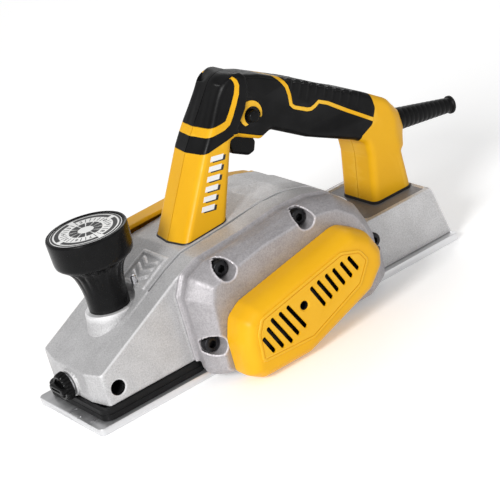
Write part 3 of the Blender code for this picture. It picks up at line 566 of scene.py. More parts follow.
def yellow_finish():
    made = Finish("yellow_plastic", (0.78, 0.4, 0.005), 0.42)
    made.surface.inputs["Specular IOR Level"].default_value = 0.25
    broad, fine = made.noise(22, 2), made.noise(0.5, 3)
    made.stain(made.spread(broad, 0.35, 0.7, 0, 0.35), (0.84, 0.46, 0.009))
    made.stain(made.spread(made.noise(3.5, 4), 0.6, 0.75, 0, 0.18), (0.7, 0.36, 0.008))
    # Painted highlight, with some wear, on the outer edges.
    made.edges((0.95, 0.62, 0.08), 0.52, 0.6, 0.45)
    # Painted shade in the inner corners.
    made.hollows((0.5, 0.24, 0.004), 0.5)
    made.bump(fine, 0.03, 0.35).bump(made.noise(6, 2), 0.1, 0.1).gloss(made.noise(4, 3), 0.34, 0.46)


def black_finish(name, colour, low, high, grain, depth):
    made = Finish(name, colour, low)
    made.surface.inputs["Specular IOR Level"].default_value = 0.13
    texture = made.cells(grain)
    paler = tuple(c * 1.8 + 0.002 for c in colour)
    made.stain(made.spread(made.noise(9, 3), 0.4, 0.75, 0, 0.5), paler)
    # Painted highlight, with some wear, on the outer edges.
    made.edges(tuple(c * 3 + 0.01 for c in colour), 0.52, 0.6, 0.5)
    made.bump(texture, depth, 0.5).bump(made.noise(0.3, 2), depth / 2, 0.4)
    made.gloss(made.noise(3, 3), low, high)


def metal_finish(name, colour, low, high, stretch=(1, 1, 1)):
    made = Finish(name, colour, low, 0.95)
    lines = made.noise(0.6, 3, stretch)
    made.stain(made.spread(lines, 0.4, 0.7, 0, 0.45), scaled(colour, 0.6))
    # Painted highlight, with some wear, on the outer edges.
    made.edges(scaled(colour, 1.5), 0.52, 0.6, 0.5)
    made.bump(lines, 0.03, 0.4).gloss(made.noise(2, 3), low, high)


def plain_finish(name, colour, low, high, other):
    """A finish for paint, print and lacquer."""
    made = Finish(name, colour, low)
    made.stain(made.spread(made.noise(3, 4), 0.45, 0.75, 0, 0.35), other)
    made.bump(made.noise(0.4, 2), 0.02, 0.3).gloss(made.noise(2, 3), low, high)


def make_finishes():
    cast_finish("cast_aluminium", (0.56, 0.555, 0.56))
    cast_finish("cast_belt_side", (0.42, 0.402, 0.415), 0.4)
    # A dark copy of the cast finish, used only as the painted shadow under the rear post.
    cast_finish("painted_post_shadow", (0.16, 0.155, 0.16))
    machined_finish()
    yellow_finish()
    black_finish("black_plastic", (0.003, 0.003, 0.0032), 0.2, 0.3, 0.5, 0.02)
    black_finish("black_rubber", (0.0045, 0.0045, 0.0048), 0.28, 0.42, 0.8, 0.03)
    metal_finish("steel", (0.55, 0.55, 0.57), 0.25, 0.4)
    metal_finish("blackened_steel", (0.03, 0.03, 0.032), 0.3, 0.45)
    metal_finish("copper", (0.72, 0.35, 0.2), 0.3, 0.45, (1, 0.1, 1))
    metal_finish("laminations", (0.22, 0.22, 0.23), 0.45, 0.6, (0.05, 1, 0.05))
    metal_finish("brass", (0.7, 0.5, 0.2), 0.3, 0.45)
    plain_finish("white_label", (0.86, 0.86, 0.85), 0.35, 0.5, (0.74, 0.74, 0.74))
    # Dark print for the dial and the post marks, and painted shade in the handle's seam and round
    # its feet.
    plain_finish("dark_print_and_shade", (0.012, 0.012, 0.013), 0.4, 0.5, (0.03, 0.03, 0.03))


def finish_cad_nodes():
    """Gives every CAD node the finish of its slot."""
    for subpart in frame["record"]["subparts"]:
        node = frame["nodes"][subpart["node"]]
        for place in node.material_slots:
            place.material = FINISHES[subpart["material_slot"]]


# Castings.


def body_casting():
    low_dome = raised(DOME_TOP, -1.2)
    nose = ((9.6, 13.8, 0), (9.6, 33.5, 2))
    casting = prism("body_casting", (*nose, *low_dome, *REAR_BODY), -37, 37)
    far_dome = ((76.3, 15, 0), (76.3, 60, 0), *low_dome, (223.2, 40, 0), (223.2, 15, 0))
    join(
        casting,
        prism("platform", (*nose, *DOME_TOP, *REAR_BODY), -21, 21),
        prism("dome", far_dome, -37.4, 41.5),
    )
    plan = (
        (9.6, -20, 0), (13, -36.5, 2), (16, -37, 0), (70, -37, 0), (77, -50, 0), (300, -50, 0),
        (300, 50, 0), (77, 50, 0), (70, 37, 0), (16, 37, 0), (13, 36.5, 2), (9.6, 20, 0),
    )
    keep(casting, prism("plan", plan, -20, 120, "Z"))
    cut(casting, rod("knob_seat", KNOB, 17.4, 57.8, 95, "Z"))
    join(casting, rod("clamp_boss", CLAMP, 9, 7.4, 14, "X"))
    cut(
        casting,
        rod("chamber", DRUM, 26.5, -PAST, PAST),
        rod("chip_duct", NOZZLE, 9.5, -30, PAST),
        rod("motor_bore", MOTOR, 28.8, -24, PAST),
        rod("shaft_hole", MOTOR, 6, -60, -20),
        *nose_bores(),
        rod("rod_bore", FENCE_ROD, 5, -PAST, PAST),
        rod("clamp_bore", CLAMP, 3.1, 0, 21.9, "X"),
        rod("index_bore", STOP_PIN, 2.3, 59.5, 80, "Z"),
        block("rear_hollow", (233, -32, 0), (281, 32, 36)),
        prism("foot_recess", rectangle(229, -32.5, 279.6, 32.5, 3), 40.5, 60, "Z"),
        rod("wire_hole", (261, 0), 6, 30, 50, "Z"),
    )
    soften(casting)
    reshape(casting, nose_marks)
    thin(casting, 0.35)
    collar = [
        (0, 41), (19.6, 41), (18.6, 45.5), (17.7, 49), (17, 53), (16.6, 56.9), (15.9, 57.7),
        (0, 57.7),
    ]
    join(casting, revolved("knob_collar", collar, KNOB))
    cut(casting, *nose_bores())
    core = inset(dome_line(), 1.6)
    for low, high in ((-21.8, -20.7), (20.7, 21.8)):
        groove = prism("groove", raised(dome_line(), 6), low, high)
        cut(groove, prism("groove_core", core, -60, 60))
        cut(casting, groove)
    mount(casting, "cast_aluminium", "main_frame")


def nose_bores():
    """The spindle's bore and the hollow under the nose, which the knob's collar leaves open."""
    return [
        rod("spindle_bore", KNOB, 4.6, 30, 70, "Z"),
        prism("nose_hollow", NOSE_HOLLOW, -31.5, 31.5),
    ]


def casting_fittings():
    """The dark bush in the fence rod's bore, and a thin dark plate raised in the recess under the
    rear post, a painted shadow of the post.
    """
    tube = ((4.7, -36.4), (5.05, -36.4), (5.05, 36.4), (4.7, 36.4))
    mount(revolved("rod_bushing", tube, FENCE_ROD, "Y"), "black_plastic")
    # Painted shadow: a dark plate where the post's shadow falls on the casting.
    shadow_plate = prism("post_shadow_plate", rectangle(229.4, -32, 279.2, 32, 3), 40.3, 40.8, "Z")
    mount(eased(shadow_plate, 0.15), "painted_post_shadow", slot="cast_aluminium")


def dome_line():
    """The dome's outline from the slope to its rear, closed well below its top."""
    below = ((223, 44, 0), (205, 44, 0), (100, 44, 0), (72, 44, 0))
    return ((66, 63.5, 0), *DOME_TOP, *below)


def nose_marks(points, normals):
    """A raised frame with three chevrons in it, on the slope behind the knob."""
    x, y, z = points.T
    side = np.abs(y + 2)
    plate = between(x, 67, 90) * between(y, -17, 13)
    field = between(x, 69.5, 87.5) * between(y, -14.5, 10.5)
    chevrons = sum(between(x - 0.45 * side, middle - 1.2, middle + 1.2) for middle in (71, 76, 81))
    height = 0.9 * (plate - field) + 0.9 * field * np.clip(chevrons, 0, 1) * between(side, -9, 9)
    facing = ramp(normals[:, 2], 0.55, 0.75) * ramp(z, 55, 58) * ramp(x, 66.4, 66.8)
    return normals * (height * facing)[:, None]


def belt_side_casting():
    counts = arc_counts(HOUSING)
    rim = (
        (0.3, -37.8), (0, -38.3), (0.2, -39.4), (1.9, -40.6), (2.3, -43), (2, -45.6), (0.9, -47.2),
    )
    slope = ((0.1, 0.3), (0.35, 0.9), (0.7, 0.8), (1, 0))
    lip = inset(HOUSING, 0.9)
    steps = [(inset(HOUSING, distance), level) for distance, level in rim]
    for share, bulge in slope:
        steps.append((inset(blended(lip, HOUSING_FLAT, share), -bulge), -47.8 - 14.2 * share))
    steps.append((inset(HOUSING_FLAT, 1.5), -62.25))
    sections = [(rounded(shape, counts), level) for shape, level in steps]
    casting = loft("belt_side_casting", sections)
    cut(
        casting,
        prism("belt_hollow", inset(COVER, 3.5), -PAST, -57),
        rod("drum_pocket", DRUM, 24.5, -43, 0),
        rod("bearing_seat", DRUM, 11.3, -70, -49.5),
        rod("drum_shaft_hole", DRUM, 6, -60, -40),
        rod("pulley_shaft_hole", MOTOR, 6, -60, -30),
        block("base_clearance", (60, -41.6, -10), (240, -30, 6.2)),
        block("shoe_clearance", (60, -41.6, -10), (99.5, -30, 13.8)),
        *rods("pocket", BOLTS[:3], 6.3, -70, -48),
        rod("rear_pocket", BOLTS[3], 6.3, -70, -44),
    )
    join(casting, rod("cover_boss", COVER_SCREW, 4.5, -63.5, -55))
    soften(casting)
    reshape(casting, pocket_rims)
    thin(casting, 0.35)
    mount(casting, "cast_belt_side", "belt_housing", slot="cast_aluminium")


def pocket_rims(points, normals):
    """A slight raised rim round each bolt's pocket and round the belt cover's seat."""
    x, y, z = points.T
    height = np.zeros(len(points))
    for place_x, place_z in BOLTS:
        away = np.hypot(x - place_x, z - place_z)
        height += 0.3 * between(away, 6.4, 7.6, 0.9)
    outward = ramp(-normals[:, 1], 0.25, 0.5) * ramp(-y, 46, 48)
    return normals * (height * outward)[:, None]


# Covers.


# The belt cover's slots: (top x, top z, bottom x, bottom z).
SLOTS = (
    (102.9, 28.6, 107.3, 18.7), (107.6, 33.4, 114.1, 18.6), (112, 37.7, 121, 18.5),
    (118.6, 38.7, 126.9, 21.2), (125, 40, 133.2, 23.2), (144.6, 43.6, 150.6, 29.9),
    (150.5, 45.2, 156.6, 32), (157.2, 46.4, 162.2, 34.4), (163.4, 47.4, 168.2, 36.2),
    (169.9, 48.8, 174.5, 38.4), (176.2, 49.7, 180.4, 40.9),
)
COVER_RIM, PANEL_FACE = -71.5, -85


def cover_slots():
    """Tools that cut the belt cover's slots, which open out a little at the panel's face."""
    levels = ((1.75, -85.6), (1.6, PANEL_FACE), (1.4, -84.6), (1.4, -79))
    return [
        loft(f"slot_{i}", [(stadium(ends[:2], ends[2:], half), level) for half, level in levels])
        for i, ends in enumerate(SLOTS)
    ]


def belt_cover():
    outside = [(0, -62.3), *quarter(8.5, COVER_RIM, -12.9, 9)]
    wall = 2.5
    hollow = quarter(8.5, COVER_RIM, -10.2, 6)
    inside = [(wall, -60), *((wall + distance, level) for distance, level in hollow)]
    cover = soften(nested("belt_cover_shell", COVER, outside), 8, 0.8)
    lifted = ((0.6, -82.5), (0, -83.4), (0, -84.6), (0.35, PANEL_FACE))
    join(cover, nested("panel", COVER_PANEL, lifted))
    groove = nested("border", COVER_PANEL, ((1.7, -85.5), (1.7, -84.65)))
    cut(groove, nested("border_core", COVER_PANEL, ((2.3, -86), (2.3, -84))))
    mouth = ((4.3, -85.4), (2.95, -84.2), (2.95, -69))
    recess = loft("recess", [(circle(*COVER_SCREW, radius), level) for radius, level in mouth])
    thin_wall = nested("thin_wall", COVER_PANEL, ((1.5, -83.8), (1.5, -70)))
    cut(cover, nested("inside", COVER, inside), thin_wall)
    join(cover, rod("screw_boss", COVER_SCREW, 5.5, -83, -64.2))
    cut(cover, groove, recess, rod("screw_hole", COVER_SCREW, 1.9, -75, -60), *cover_slots())
    mount(cover, "yellow_plastic", "belt_cover")


def cover_linings():
    """Painted shade for the belt cover: a dark screen behind its slots and a dark sleeve round its
    sunk screw, so both openings read dark inside.
    """
    shade_screen = nested("slot_shade_screen", COVER_PANEL, ((2, -80.6), (2, -79.8)))
    cut(shade_screen, rod("screen_hole", COVER_SCREW, 6, -90, -70))
    mount(eased(shade_screen, 0.2), "black_plastic")
    tube = ((2.6, -83.9), (2.94, -83.9), (2.94, -72.4), (2.6, -72.4))
    mount(revolved("screw_shade_sleeve", tube, COVER_SCREW, "Y"), "black_plastic")


def motor_cover():
    outside = [(0, 41.8), *quarter(8, 53, 8.6, 7)]
    cover = soften(nested("motor_cover_shell", MOTOR_COVER, outside), 4, 0.8)
    pad = rod("bearing_pad", MOTOR, 14.5, 60, 62, tip=14)
    join(cover, pad, rod("nozzle_pad", NOZZLE, 14, 60, 61.9, tip=13.4))
    cut(
        cover,
        prism("inside", inset(MOTOR_COVER, 2.6), 30, 59.4),
        rod("pad_ring", MOTOR, 11.5, 61.5, 70),
    )
    join(
        cover,
        rod("rear_seat", MOTOR, 14.2, 49.8, 60.5),
        *rods("cover_boss", MOTOR_SCREWS, 4.6, 41.8, 60),
    )
    levels = ((1.6, 62.6), (1.2, 61.3), (1.2, 55))
    vents = [
        loft(f"vent_{x}", [(stadium((x, 35.2), (x, 56.8), half), level) for half, level in levels])
        for x in (first + 4.6 * step + 1.2 for first in (134, 185.5) for step in range(4))
    ]
    cut(
        cover,
        rod("bearing_seat", MOTOR, 11.3, 45, 58.4),
        rod("nozzle_hole", NOZZLE, 11, 50, PAST),
        *rods("recess", MOTOR_SCREWS, 3.4, 57, PAST),
        *rods("bore", MOTOR_SCREWS, 1.9, 30, 58),
        *vents,
    )
    mount(cover, "yellow_plastic", "motor_cover")


# Handle.


FRONT_STRIPE = (
    (108, 138.2), (130, 138.4), (146, 138.7), (152, 139), (156, 140), (160, 144), (164, 149),
    (167.8, 155), (169.6, 160), (169.4, 163), (168.4, 165.6),
)
MID_STRIPE = (
    (195.5, 162), (198.5, 156.4), (203.6, 148), (205.4, 144), (205.9, 138), (205.2, 131.6),
    (207, 129), (210.3, 127), (216, 123.6), (218.9, 122.8), (222, 123.4), (225.8, 125),
    (232, 121.4), (245, 110.6), (262, 97.1),
)
LIP = ((157.5, 129.6), (162, 128.2), (170, 123.6), (176.5, 120.2), (179.3, 119.4))
STRIPES = (
    (FRONT_STRIPE, (4.6, 4.6, 4.6, 4.6, 3.9, 3.6, 3.3, 3.2, 3, 2.6, 1.8)),
    (MID_STRIPE, (2.4,) * len(MID_STRIPE)),
    (LIP, (3.4, 3.6, 3.8, 3.6, 3.2)),
)
STRIPE_GAP = 0.5
SEAM_HALF = 0.32
THROUGH = (-40, 40)
CAP_EDGE = ((133, 161), (144, 171), (150.5, 174.2), (156, 176.2), (163, 177), (169, 174.7))
REAR_TUCK = {7: 8.2, 8: 12, 9: 7.7}


def handle_body():
    counts = arc_counts(HANDLE)
    edge, half = 4.5, 19
    near, far = quarter(edge, edge - half, -edge, 5)[::-1], quarter(edge, half - edge, edge, 5)
    sections = []
    for distance, level in [*near, (0, -8), (0, 0), (0, 8), *far]:
        corners = list(inset(HANDLE, distance))
        for index in (0, 1):
            a, b, radius = blended(HANDLE, corners, 0.65)[index]
            corners[index] = (a + 2.6 * abs(level) / half, b, radius)
        for index, tuck in REAR_TUCK.items():
            a, b, radius = corners[index]
            corners[index] = (a - tuck * (level / 17.7) ** 2, b, radius)
        sections.append((rounded(corners, counts), level))
    body = soften(loft("handle_body", sections), 2)
    reshape(body, grip_shape)
    cut(body, block("under_feet", (230, -40, 20), (300, 40, 40.7)))
    return body


def grip_shape(points, normals):
    """The grip is slimmer behind its front cap, and ripples cross its rear top."""
    x, y, z = points.T
    edge_z, edge_x = zip(*CAP_EDGE)
    cap = np.interp(z, edge_z, edge_x)
    slim = ramp(x - cap, -0.5, 1.6) * ramp(z, 100, 112) * (1 - ramp(x, 243, 262))
    shift = np.zeros_like(points)
    head = (1 - ramp(x, 156, 173)) * ramp(z, 128, 150)
    side = np.abs(y)
    shift[:, 1] = -y / 19 * (2.2 * slim + 3.2 * head * ramp(z, 130, 165))
    facing_up = ramp(normals[:, 2], 0.66, 0.85)
    crown = 5.5 * head * ramp(side, 2, 19) * facing_up
    shift[:, 2] = -1.6 * slim * ramp(normals[:, 2], 0.1, 0.6) - crown
    along = x - 0.55 * z + 0.28 * side
    groove = np.clip(np.cos(2 * np.pi * along / 7.6), 0, 1) ** 2
    stripe_z = np.interp(x, [198, 205, 219, 226, 262], [158, 136, 124, 126, 97])
    pad = between(x, 207, 257, 5) * ramp(z - stripe_z, 2.5, 6) * ramp(normals[:, 2], -0.2, 0.3)
    return shift - normals * (groove * pad)[:, None]


def handle_tools(side):
    """What both the plastic and the rubber of one half make room for."""
    socket = rod("guard_socket", (0, 0), 8.2, -13, 14, "Z", 32)
    socket.data.transform(GUARD)
    tools = [block("trigger_slot", (156.9, -8.2, 100), (181.5, 8.2, 139.5)), socket]
    if side > 0:
        return tools + rods("recess", HANDLE_SCREWS, 3.4, 13.5, 25)
    pocket = rod("button_pocket", BUTTON, 5.6, -15, -7)
    return [*tools, rod("button_hole", BUTTON, 4.4, -25, -8), pocket]


def stripe_zone(wider=0):
    """The ground that the yellow stripes cover, with each one widened by wider."""
    first, *rest = [
        prism(f"stripe_{i}", band(path, [width + wider for width in widths]), *THROUGH)
        for i, (path, widths) in enumerate(STRIPES)
    ]
    return join(first, *rest)


def grip_zone(grow=0):
    return prism("grip_zone", inset(GRIP_REGION, -grow) if grow else GRIP_REGION, *THROUGH)


def handle():
    body = handle_body()
    for word, side in (("left", -1), ("right", 1)):
        shell = copied(body, f"handle_{word}")
        near, far = sorted((side * SEAM_HALF, side * 60))
        keep(shell, block("half", (60, near, 20), (320, far, 220)))
        cut(shell, *handle_tools(side))
        grip = copied(shell, f"grip_{word}")
        stripes = copied(shell, f"grip_stripes_{word}")
        cut(shell, grip_zone(0.2))
        keep(grip, grip_zone())
        cut(grip, stripe_zone(STRIPE_GAP))
        keep(stripes, grip_zone(), stripe_zone())
        mount(thin(shell, 0.5), "yellow_plastic", f"handle_shell_{word}")
        mount(thin(grip, 0.6), "black_rubber", f"grip_overmould_{word}")
        mount(thin(stripes, 0.6), "yellow_plastic")
    seam_strip()
    foot_seals(body)
    crescent()
    post_marks()


def seam_strip():
    """A dark tongue of painted shade in the joint between the two halves, away from the trigger and
    guard.
    """
    counts = arc_counts(HANDLE)
    outer, inner = (rounded(inset(HANDLE, depth), counts) for depth in (1, 3))
    made = bmesh.new()
    for i in range(len(outer)):
        j = (i + 1) % len(outer)
        middle = (outer[i] + outer[j]) / 2
        by_trigger = 150 < middle.x < 186 and 105 < middle.y < 142
        if by_trigger or middle.x > 280:
            continue
        corners = (outer[i], outer[j], inner[j], inner[i])
        skin(made, [[made.verts.new((p.x, y, p.y)) for p in corners] for y in (-0.3, 0.3)])
    strip = as_object("handle_seam_shade", made)
    reshape(strip, grip_shape)
    mount(strip, "dark_print_and_shade", slot="black_plastic")


def foot_seals(feet):
    """A thin dark band of painted shade in the gap between the handle's two feet and the casting.
    """
    reshape(feet, lambda points, normals: 0.45 * normals)
    zone = prism("front_foot", raised(dome_line(), 0.75), -30, 30)
    join(zone, block("rear_foot", (236, -30, 40.7), (290, 30, 42.6)))
    keep(feet, zone)
    feet.name = "foot_seals"
    mount(feet, "dark_print_and_shade", slot="black_rubber")


def crescent():
    """The yellow crescent below and in front of the lock button."""
    outline = []
    arc_pair = ((8.5, -0.2, 1.4, -32, 256), (6.1, 0.6, -0.2, 224, -256))
    for radius, across, up, start, sweep in arc_pair:
        for step in range(33):
            angle = radians(start + sweep * step / 32)
            x = BUTTON[0] + across + radius * cos(angle)
            outline.append((x, BUTTON[1] + up + radius * sin(angle)))
    made = loft("button_crescent", [(outline, -15), (outline, -17.1), (outline, -17.35)])
    mount(made, "yellow_plastic")


def post_marks():
    """Plain slanted bars up the front post's near side, each with a dark shadow."""
    start, end = Vector((125.6, 94.5)), Vector((141.5, 122.5))
    along = (end - start).normalized()
    across = Vector((along.y, -along.x))
    lean, width, reach = along * 1.6, along * 1.75, across * 4.4
    for name, finish, shift, level in (
        ("post_bar_shadow", "dark_print_and_shade", Vector((1.5, -1.1)), -19.03),
        ("post_bars", "white_label", Vector((0, 0)), -19.08),
    ):
        made = bmesh.new()
        for step in range(6):
            centre = start + (end - start) * step / 5 + shift
            signs = ((-1, -1), (1, -1), (1, 1), (-1, 1))
            corners = [centre + (reach + lean) * i + width * j for i, j in signs]
            skin(made, [[made.verts.new((p.x, y, p.y)) for p in corners] for y in (level, -18.6)])
        mount(as_object(name, made), finish, slot="white_label")


def cord_guard():
    profile = [(3.4, 48.4), (5.7, 48.4), (6.25, 47.9), (6.25, 46.6), (5.7, 46.2), (5.25, 45.9)]
    for step in range(11):
        height = 43.6 - 4 * step
        radius = 5.2 + 2.6 * (46 - height) / 46
        profile += [
            (radius, height + 1.1), (radius - 0.15, height + 0.8), (radius - 0.15, height - 0.1),
            (radius, height - 0.4),
        ]
    profile += [(7.8, 1), (7.8, -5), (8.1, -5.1), (8.1, -9.9), (3.4, -10)]
    guard = revolved("guard", profile, steps=48)
    guard.data.transform(GUARD)
    mount(guard, "black_rubber", "cord_guard")


def trigger():
    made = soften(cushioned("trigger_key", TRIGGER, -7.5, 7.5, 1.8), 2, 0.5)
    mount(thin(made, 0.5), "black_plastic", "trigger", body="trigger")


# Depth knob.


# The level of the dial's print, and its numbers' size and distance from the centre.
DIAL, DIGIT_HEIGHT, DIGIT_RING = 111, 4.4, 14.3


def depth_knob():
    flare = []
    for step in range(12):
        rise = step / 11
        flare.append((13.3 + 4.5 * rise ** 2.5 + 4 * rise ** 9, 58.1 + 33 * rise))
    profile = [
        (0, 110.4), (23.7, 110.4), (23.8, 111.1), (24.2, 111.3), (25.3, 111.3), (25.9, 111),
        (26.25, 110.2), (26.3, 109.2), (26.1, 104), (25.8, 97), (25.6, 94.4), (25.2, 93),
        (24.4, 92.1), (23.4, 91.6), *reversed(flare), (4.3, 58.1), (4.3, 80), (0, 80),
    ]

    def fluted(angle, radius, height):
        if height > 91.5 or height < 70 or radius < 12:
            return radius
        depth = 1.4 * ((height - 70) / 21) ** 1.5
        return radius + depth * (0.5 + 0.5 * cos(18 * angle)) ** 0.6

    knob = revolved("knob", profile, KNOB, steps=180, ripple=fluted)
    mount(knob, "black_plastic", "depth_knob", body="depth_control")


def arcs(made, inner, outer, spans):
    """Adds flat ring sectors to the dial, each from one angle to another in degrees."""
    for start, end in spans:
        steps = max(1, int(abs(end - start) / 4))
        outline = []
        for radius, sweep in ((inner, range(steps + 1)), (outer, range(steps, -1, -1))):
            for step in sweep:
                angle = radians(start + (end - start) * step / steps)
                outline.append((KNOB[0] + radius * cos(angle), radius * sin(angle)))
        levels = (DIAL, DIAL - 0.12)
        skin(made, [[made.verts.new((x, y, height)) for x, y in outline] for height in levels])


def dial():
    dark = bmesh.new()
    arcs(dark, 21.6, 22.8, [(0, 180), (180, 360)])
    arcs(dark, 17.6, 20.4, [(turn + 6, turn + 84) for turn in range(0, 360, 90)])
    arcs(dark, 12.2, 16.6, [(tick * 12 - 0.8, tick * 12 + 0.8) for tick in range(30) if tick % 3])
    arcs(dark, 5.2, 10.8, [(turn + 2.5, turn + 27.5) for turn in range(0, 360, 30)])
    numbers = bmesh.new()
    for number in range(10):
        curve = bpy.data.curves.new(f"digit_{number}", "FONT")
        curve.body = str(number)
        curve.size = DIGIT_HEIGHT
        curve.extrude = 0.05
        curve.align_x, curve.align_y = "CENTER", "CENTER"
        angle = radians(36 * number)
        text = placed(f"digit_{number}", curve)
        text.location = (KNOB[0] + DIGIT_RING * cos(angle), DIGIT_RING * sin(angle), DIAL - 0.04)
        text.rotation_euler = (0, 0, angle - pi / 2)
        bpy.context.view_layer.update()
        graph = bpy.context.evaluated_depsgraph_get()
        mesh = bpy.data.meshes.new_from_object(text.evaluated_get(graph))
        mesh.transform(text.matrix_world)
        numbers.from_mesh(mesh)
        bpy.data.meshes.remove(mesh)
        bpy.data.objects.remove(text)
    for name, print_mesh in (("dial_print", dark), ("dial_numbers", numbers)):
        mount(as_object(name, print_mesh), "dark_print_and_shade", body="depth_control", slot="white_label")


# Spring, fence clamp, bolts and screws.


def spring():
    """The coil that presses the front shoe down."""
    turns, per_turn, sides, radius, wire = 3, 24, 8, 5.9, 0.6
    low, high = 34.2, 40.4
    made = bmesh.new()
    rings = []
    for step in range(turns * per_turn + 1):
        angle = 2 * pi * step / per_turn
        height = low + (high - low) * step / (turns * per_turn)
        ring = []
        for reach, rise in circle(radius, 0, wire, sides):
            place = KNOB[0] + reach * cos(angle), reach * sin(angle), height + rise
            ring.append(made.verts.new(place))
        rings.append(ring)
    skin(made, rings)
    coil = mount(as_object("depth_coil", made), "steel", "depth_spring")
    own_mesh(coil)


def thumb_screw():
    def knurl(angle, radius, height):
        if radius < 6.5 or height > 5.2 or height < 0.5:
            return radius
        return radius - 0.7 * (0.5 + 0.5 * cos(24 * angle))

    profile = [
        (0, 1.2), (6.2, 1.2), (6.6, 0.2), (7.6, 0.1), (8.6, 0.7), (9.2, 2.2), (9.6, 4.6),
        (9.4, 5.3), (8.4, 5.6), (2.6, 5.6), (2.6, 15.8), (0, 15.8),
    ]
    screw = revolved("thumb_screw", profile, CLAMP, "X", 120, knurl)
    bow = cushioned("bow", rectangle(-8.6, 20.6, 8.6, 25.4, 2.1), -3, 1.9, 0.8, "X", both=False)
    cut(bow, prism("bow_slot", stadium((-4.6, 23), (4.6, 23), 0.8), -5, -1.4, "X"))
    join(screw, bow)
    mount(screw, "black_plastic", "fence_clamp_screw", body="clamp_screw")


def hexagon(centre, radius):
    turns = [pi / 3 * k + 0.3 for k in range(6)]
    return [(centre[0] + radius * cos(turn), centre[1] + radius * sin(turn)) for turn in turns]


def housing_bolts():
    def knurl(angle, radius, height):
        return radius - 0.16 * (0.5 + 0.5 * cos(30 * angle)) if radius > 4.2 else radius

    for i, (place, face) in enumerate(zip(BOLTS, BOLT_FACES), 1):
        profile = [
            (0, face), (4.3, face), (4.9, face + 0.35), (5.2, face + 0.9), (5.2, face + 5.5),
            (4.9, face + 5.8), (2.5, face + 5.8), (2.5, -27), (0, -27),
        ]
        bolt = revolved(f"socket_bolt_{i}", profile, place, "Y", 120, knurl)
        cut(bolt, prism("socket", hexagon(place, 2.8), -58, face + 3.2))
        mount(bolt, "blackened_steel", f"belt_housing_bolt_{i}")


def cross_screw(name, node, place, radius, face, seat, thread, tip, along="Y"):
    """A pan-head screw with a cross recess. face, seat and tip are levels, thread a radius."""
    out = 1 if seat > face else -1
    height = abs(seat - face)
    pan = ((0, 0), (0.55, 0.08), (0.85, 0.3), (1, 0.7))
    head = [(radius * share, face + out * height * rise) for share, rise in pan]
    shank = [(radius, seat), (thread, seat), (thread, tip), (0, tip)]
    screw = revolved(name, head + shank, place, along, 36)
    low, high = sorted((face - out * 2, face + out * height * 0.6))
    a, b = place
    arms = [
        prism(f"arm_{i}", rectangle(a - across, b - up, a + across, b + up), low, high, along)
        for i, (across, up) in enumerate(((radius * 0.62, 0.4), (0.41, radius * 0.62)))
    ]
    cut(screw, *arms)
    mount(screw, "steel" if node.startswith("rear_base") else "blackened_steel", node)


def screws():
    """The cross-head screws: piece, node, places, then cross_screw's sizes."""
    cross_screw("cover_screw_near", "belt_cover_screw", COVER_SCREW, 2.6, -72, -69.3, 1.6, -50)
    for name, node, places, sizes in (
        ("cover_screw_far", "motor_cover_screw", MOTOR_SCREWS, (3.1, 60, 57.3, 1.6, 31)),
        ("grip_screw", "handle_screw", HANDLE_SCREWS, (3, 16.2, 13.8, 1.6, -11)),
        ("sole_screw", "rear_base_screw", SOLE_SCREWS, (4.2, 0.5, 2.7, 2, 17, "Z")),
    ):
        for i, place in enumerate(places, 1):
            cross_screw(f"{name}_{i}", f"{node}_{i}", place, *sizes)


# Small turned pieces: node, finish, body, centre, axis, steps and (radius, level) profile.
TURNED = {
    "nozzle": ("chip_nozzle", "black_plastic", "frame", NOZZLE, "Y", 72, (
        (8.5, 67), (9.6, 67), (10.4, 66.3), (10.2, 64.5), (10.2, 47.2), (10.8, 46.2), (11.7, 46),
        (12, 45.6), (12, 41.8), (8.5, 41.8),
    )),
    "lock_key": ("lock_button", "black_plastic", "lock_button", BUTTON, "Y", 48, (
        (0, -21.4), (2.2, -21.55), (3.3, -21.3), (3.85, -20.7), (4, -19.8), (4, -13.5),
        (5.2, -13.5), (5.2, -12), (4, -12), (4, -10), (0, -10),
    )),
    "dial_plate": ("depth_dial", "white_label", "depth_control", KNOB, "Z", 96, (
        (0, 110.9), (22.9, 110.9), (23.3, 110.8), (23.3, 110.5), (0, 110.5),
    )),
    "stop_pin": ("index_pin", "steel", "frame", STOP_PIN, "Z", 32, (
        (0, 58), (2, 58), (2, 69.6), (1.6, 70.2), (0.9, 70.5), (0, 70.6),
    )),
    "clamp_washer": ("fence_clamp_washer", "steel", "clamp_carrier", CLAMP, "X", 64, (
        (3, 5.95), (6.6, 5.9), (7, 6.2), (7, 7.1), (3, 7.1),
    )),
}


def turned_piece(name):
    node, finish, body, centre, along, steps, profile = TURNED[name]
    mount(revolved(name, profile, centre, along, steps), finish, node, body=body)


# Shoes and seal.


def front_shoe():
    side = ((0, 0, 0), (0, 5, 0), (94.5, 5, 0), (100.5, 0, 0))
    shoe = prism("front_plate", side, -SOLE_HALF, SOLE_HALF)
    keep(shoe, prism("plan", rectangle(0, -SOLE_HALF, 120, SOLE_HALF, 4), -5, 20, "Z"))
    eased(shoe, 0.5)
    join(shoe, rod("hub", KNOB, 9, 3, 33, "Z"))
    cut(
        shoe,
        rod("hub_bore", KNOB, 4.4, 8, 40, "Z"),
        prism("v_groove", [(-2.5, -1), (0, 1.8), (2.5, -1)], -5, 120, "X"),
        prism("centre_mark", stadium((1.5, 0), (6, 0), 0.5), 4.5, 8, "Z"),
        prism("edge_mark", stadium((-2, -12), (2, -12), 0.6), 4.6, 8, "Z"),
    )
    mount(shoe, "machined_aluminium", "front_base", body="front_shoe")


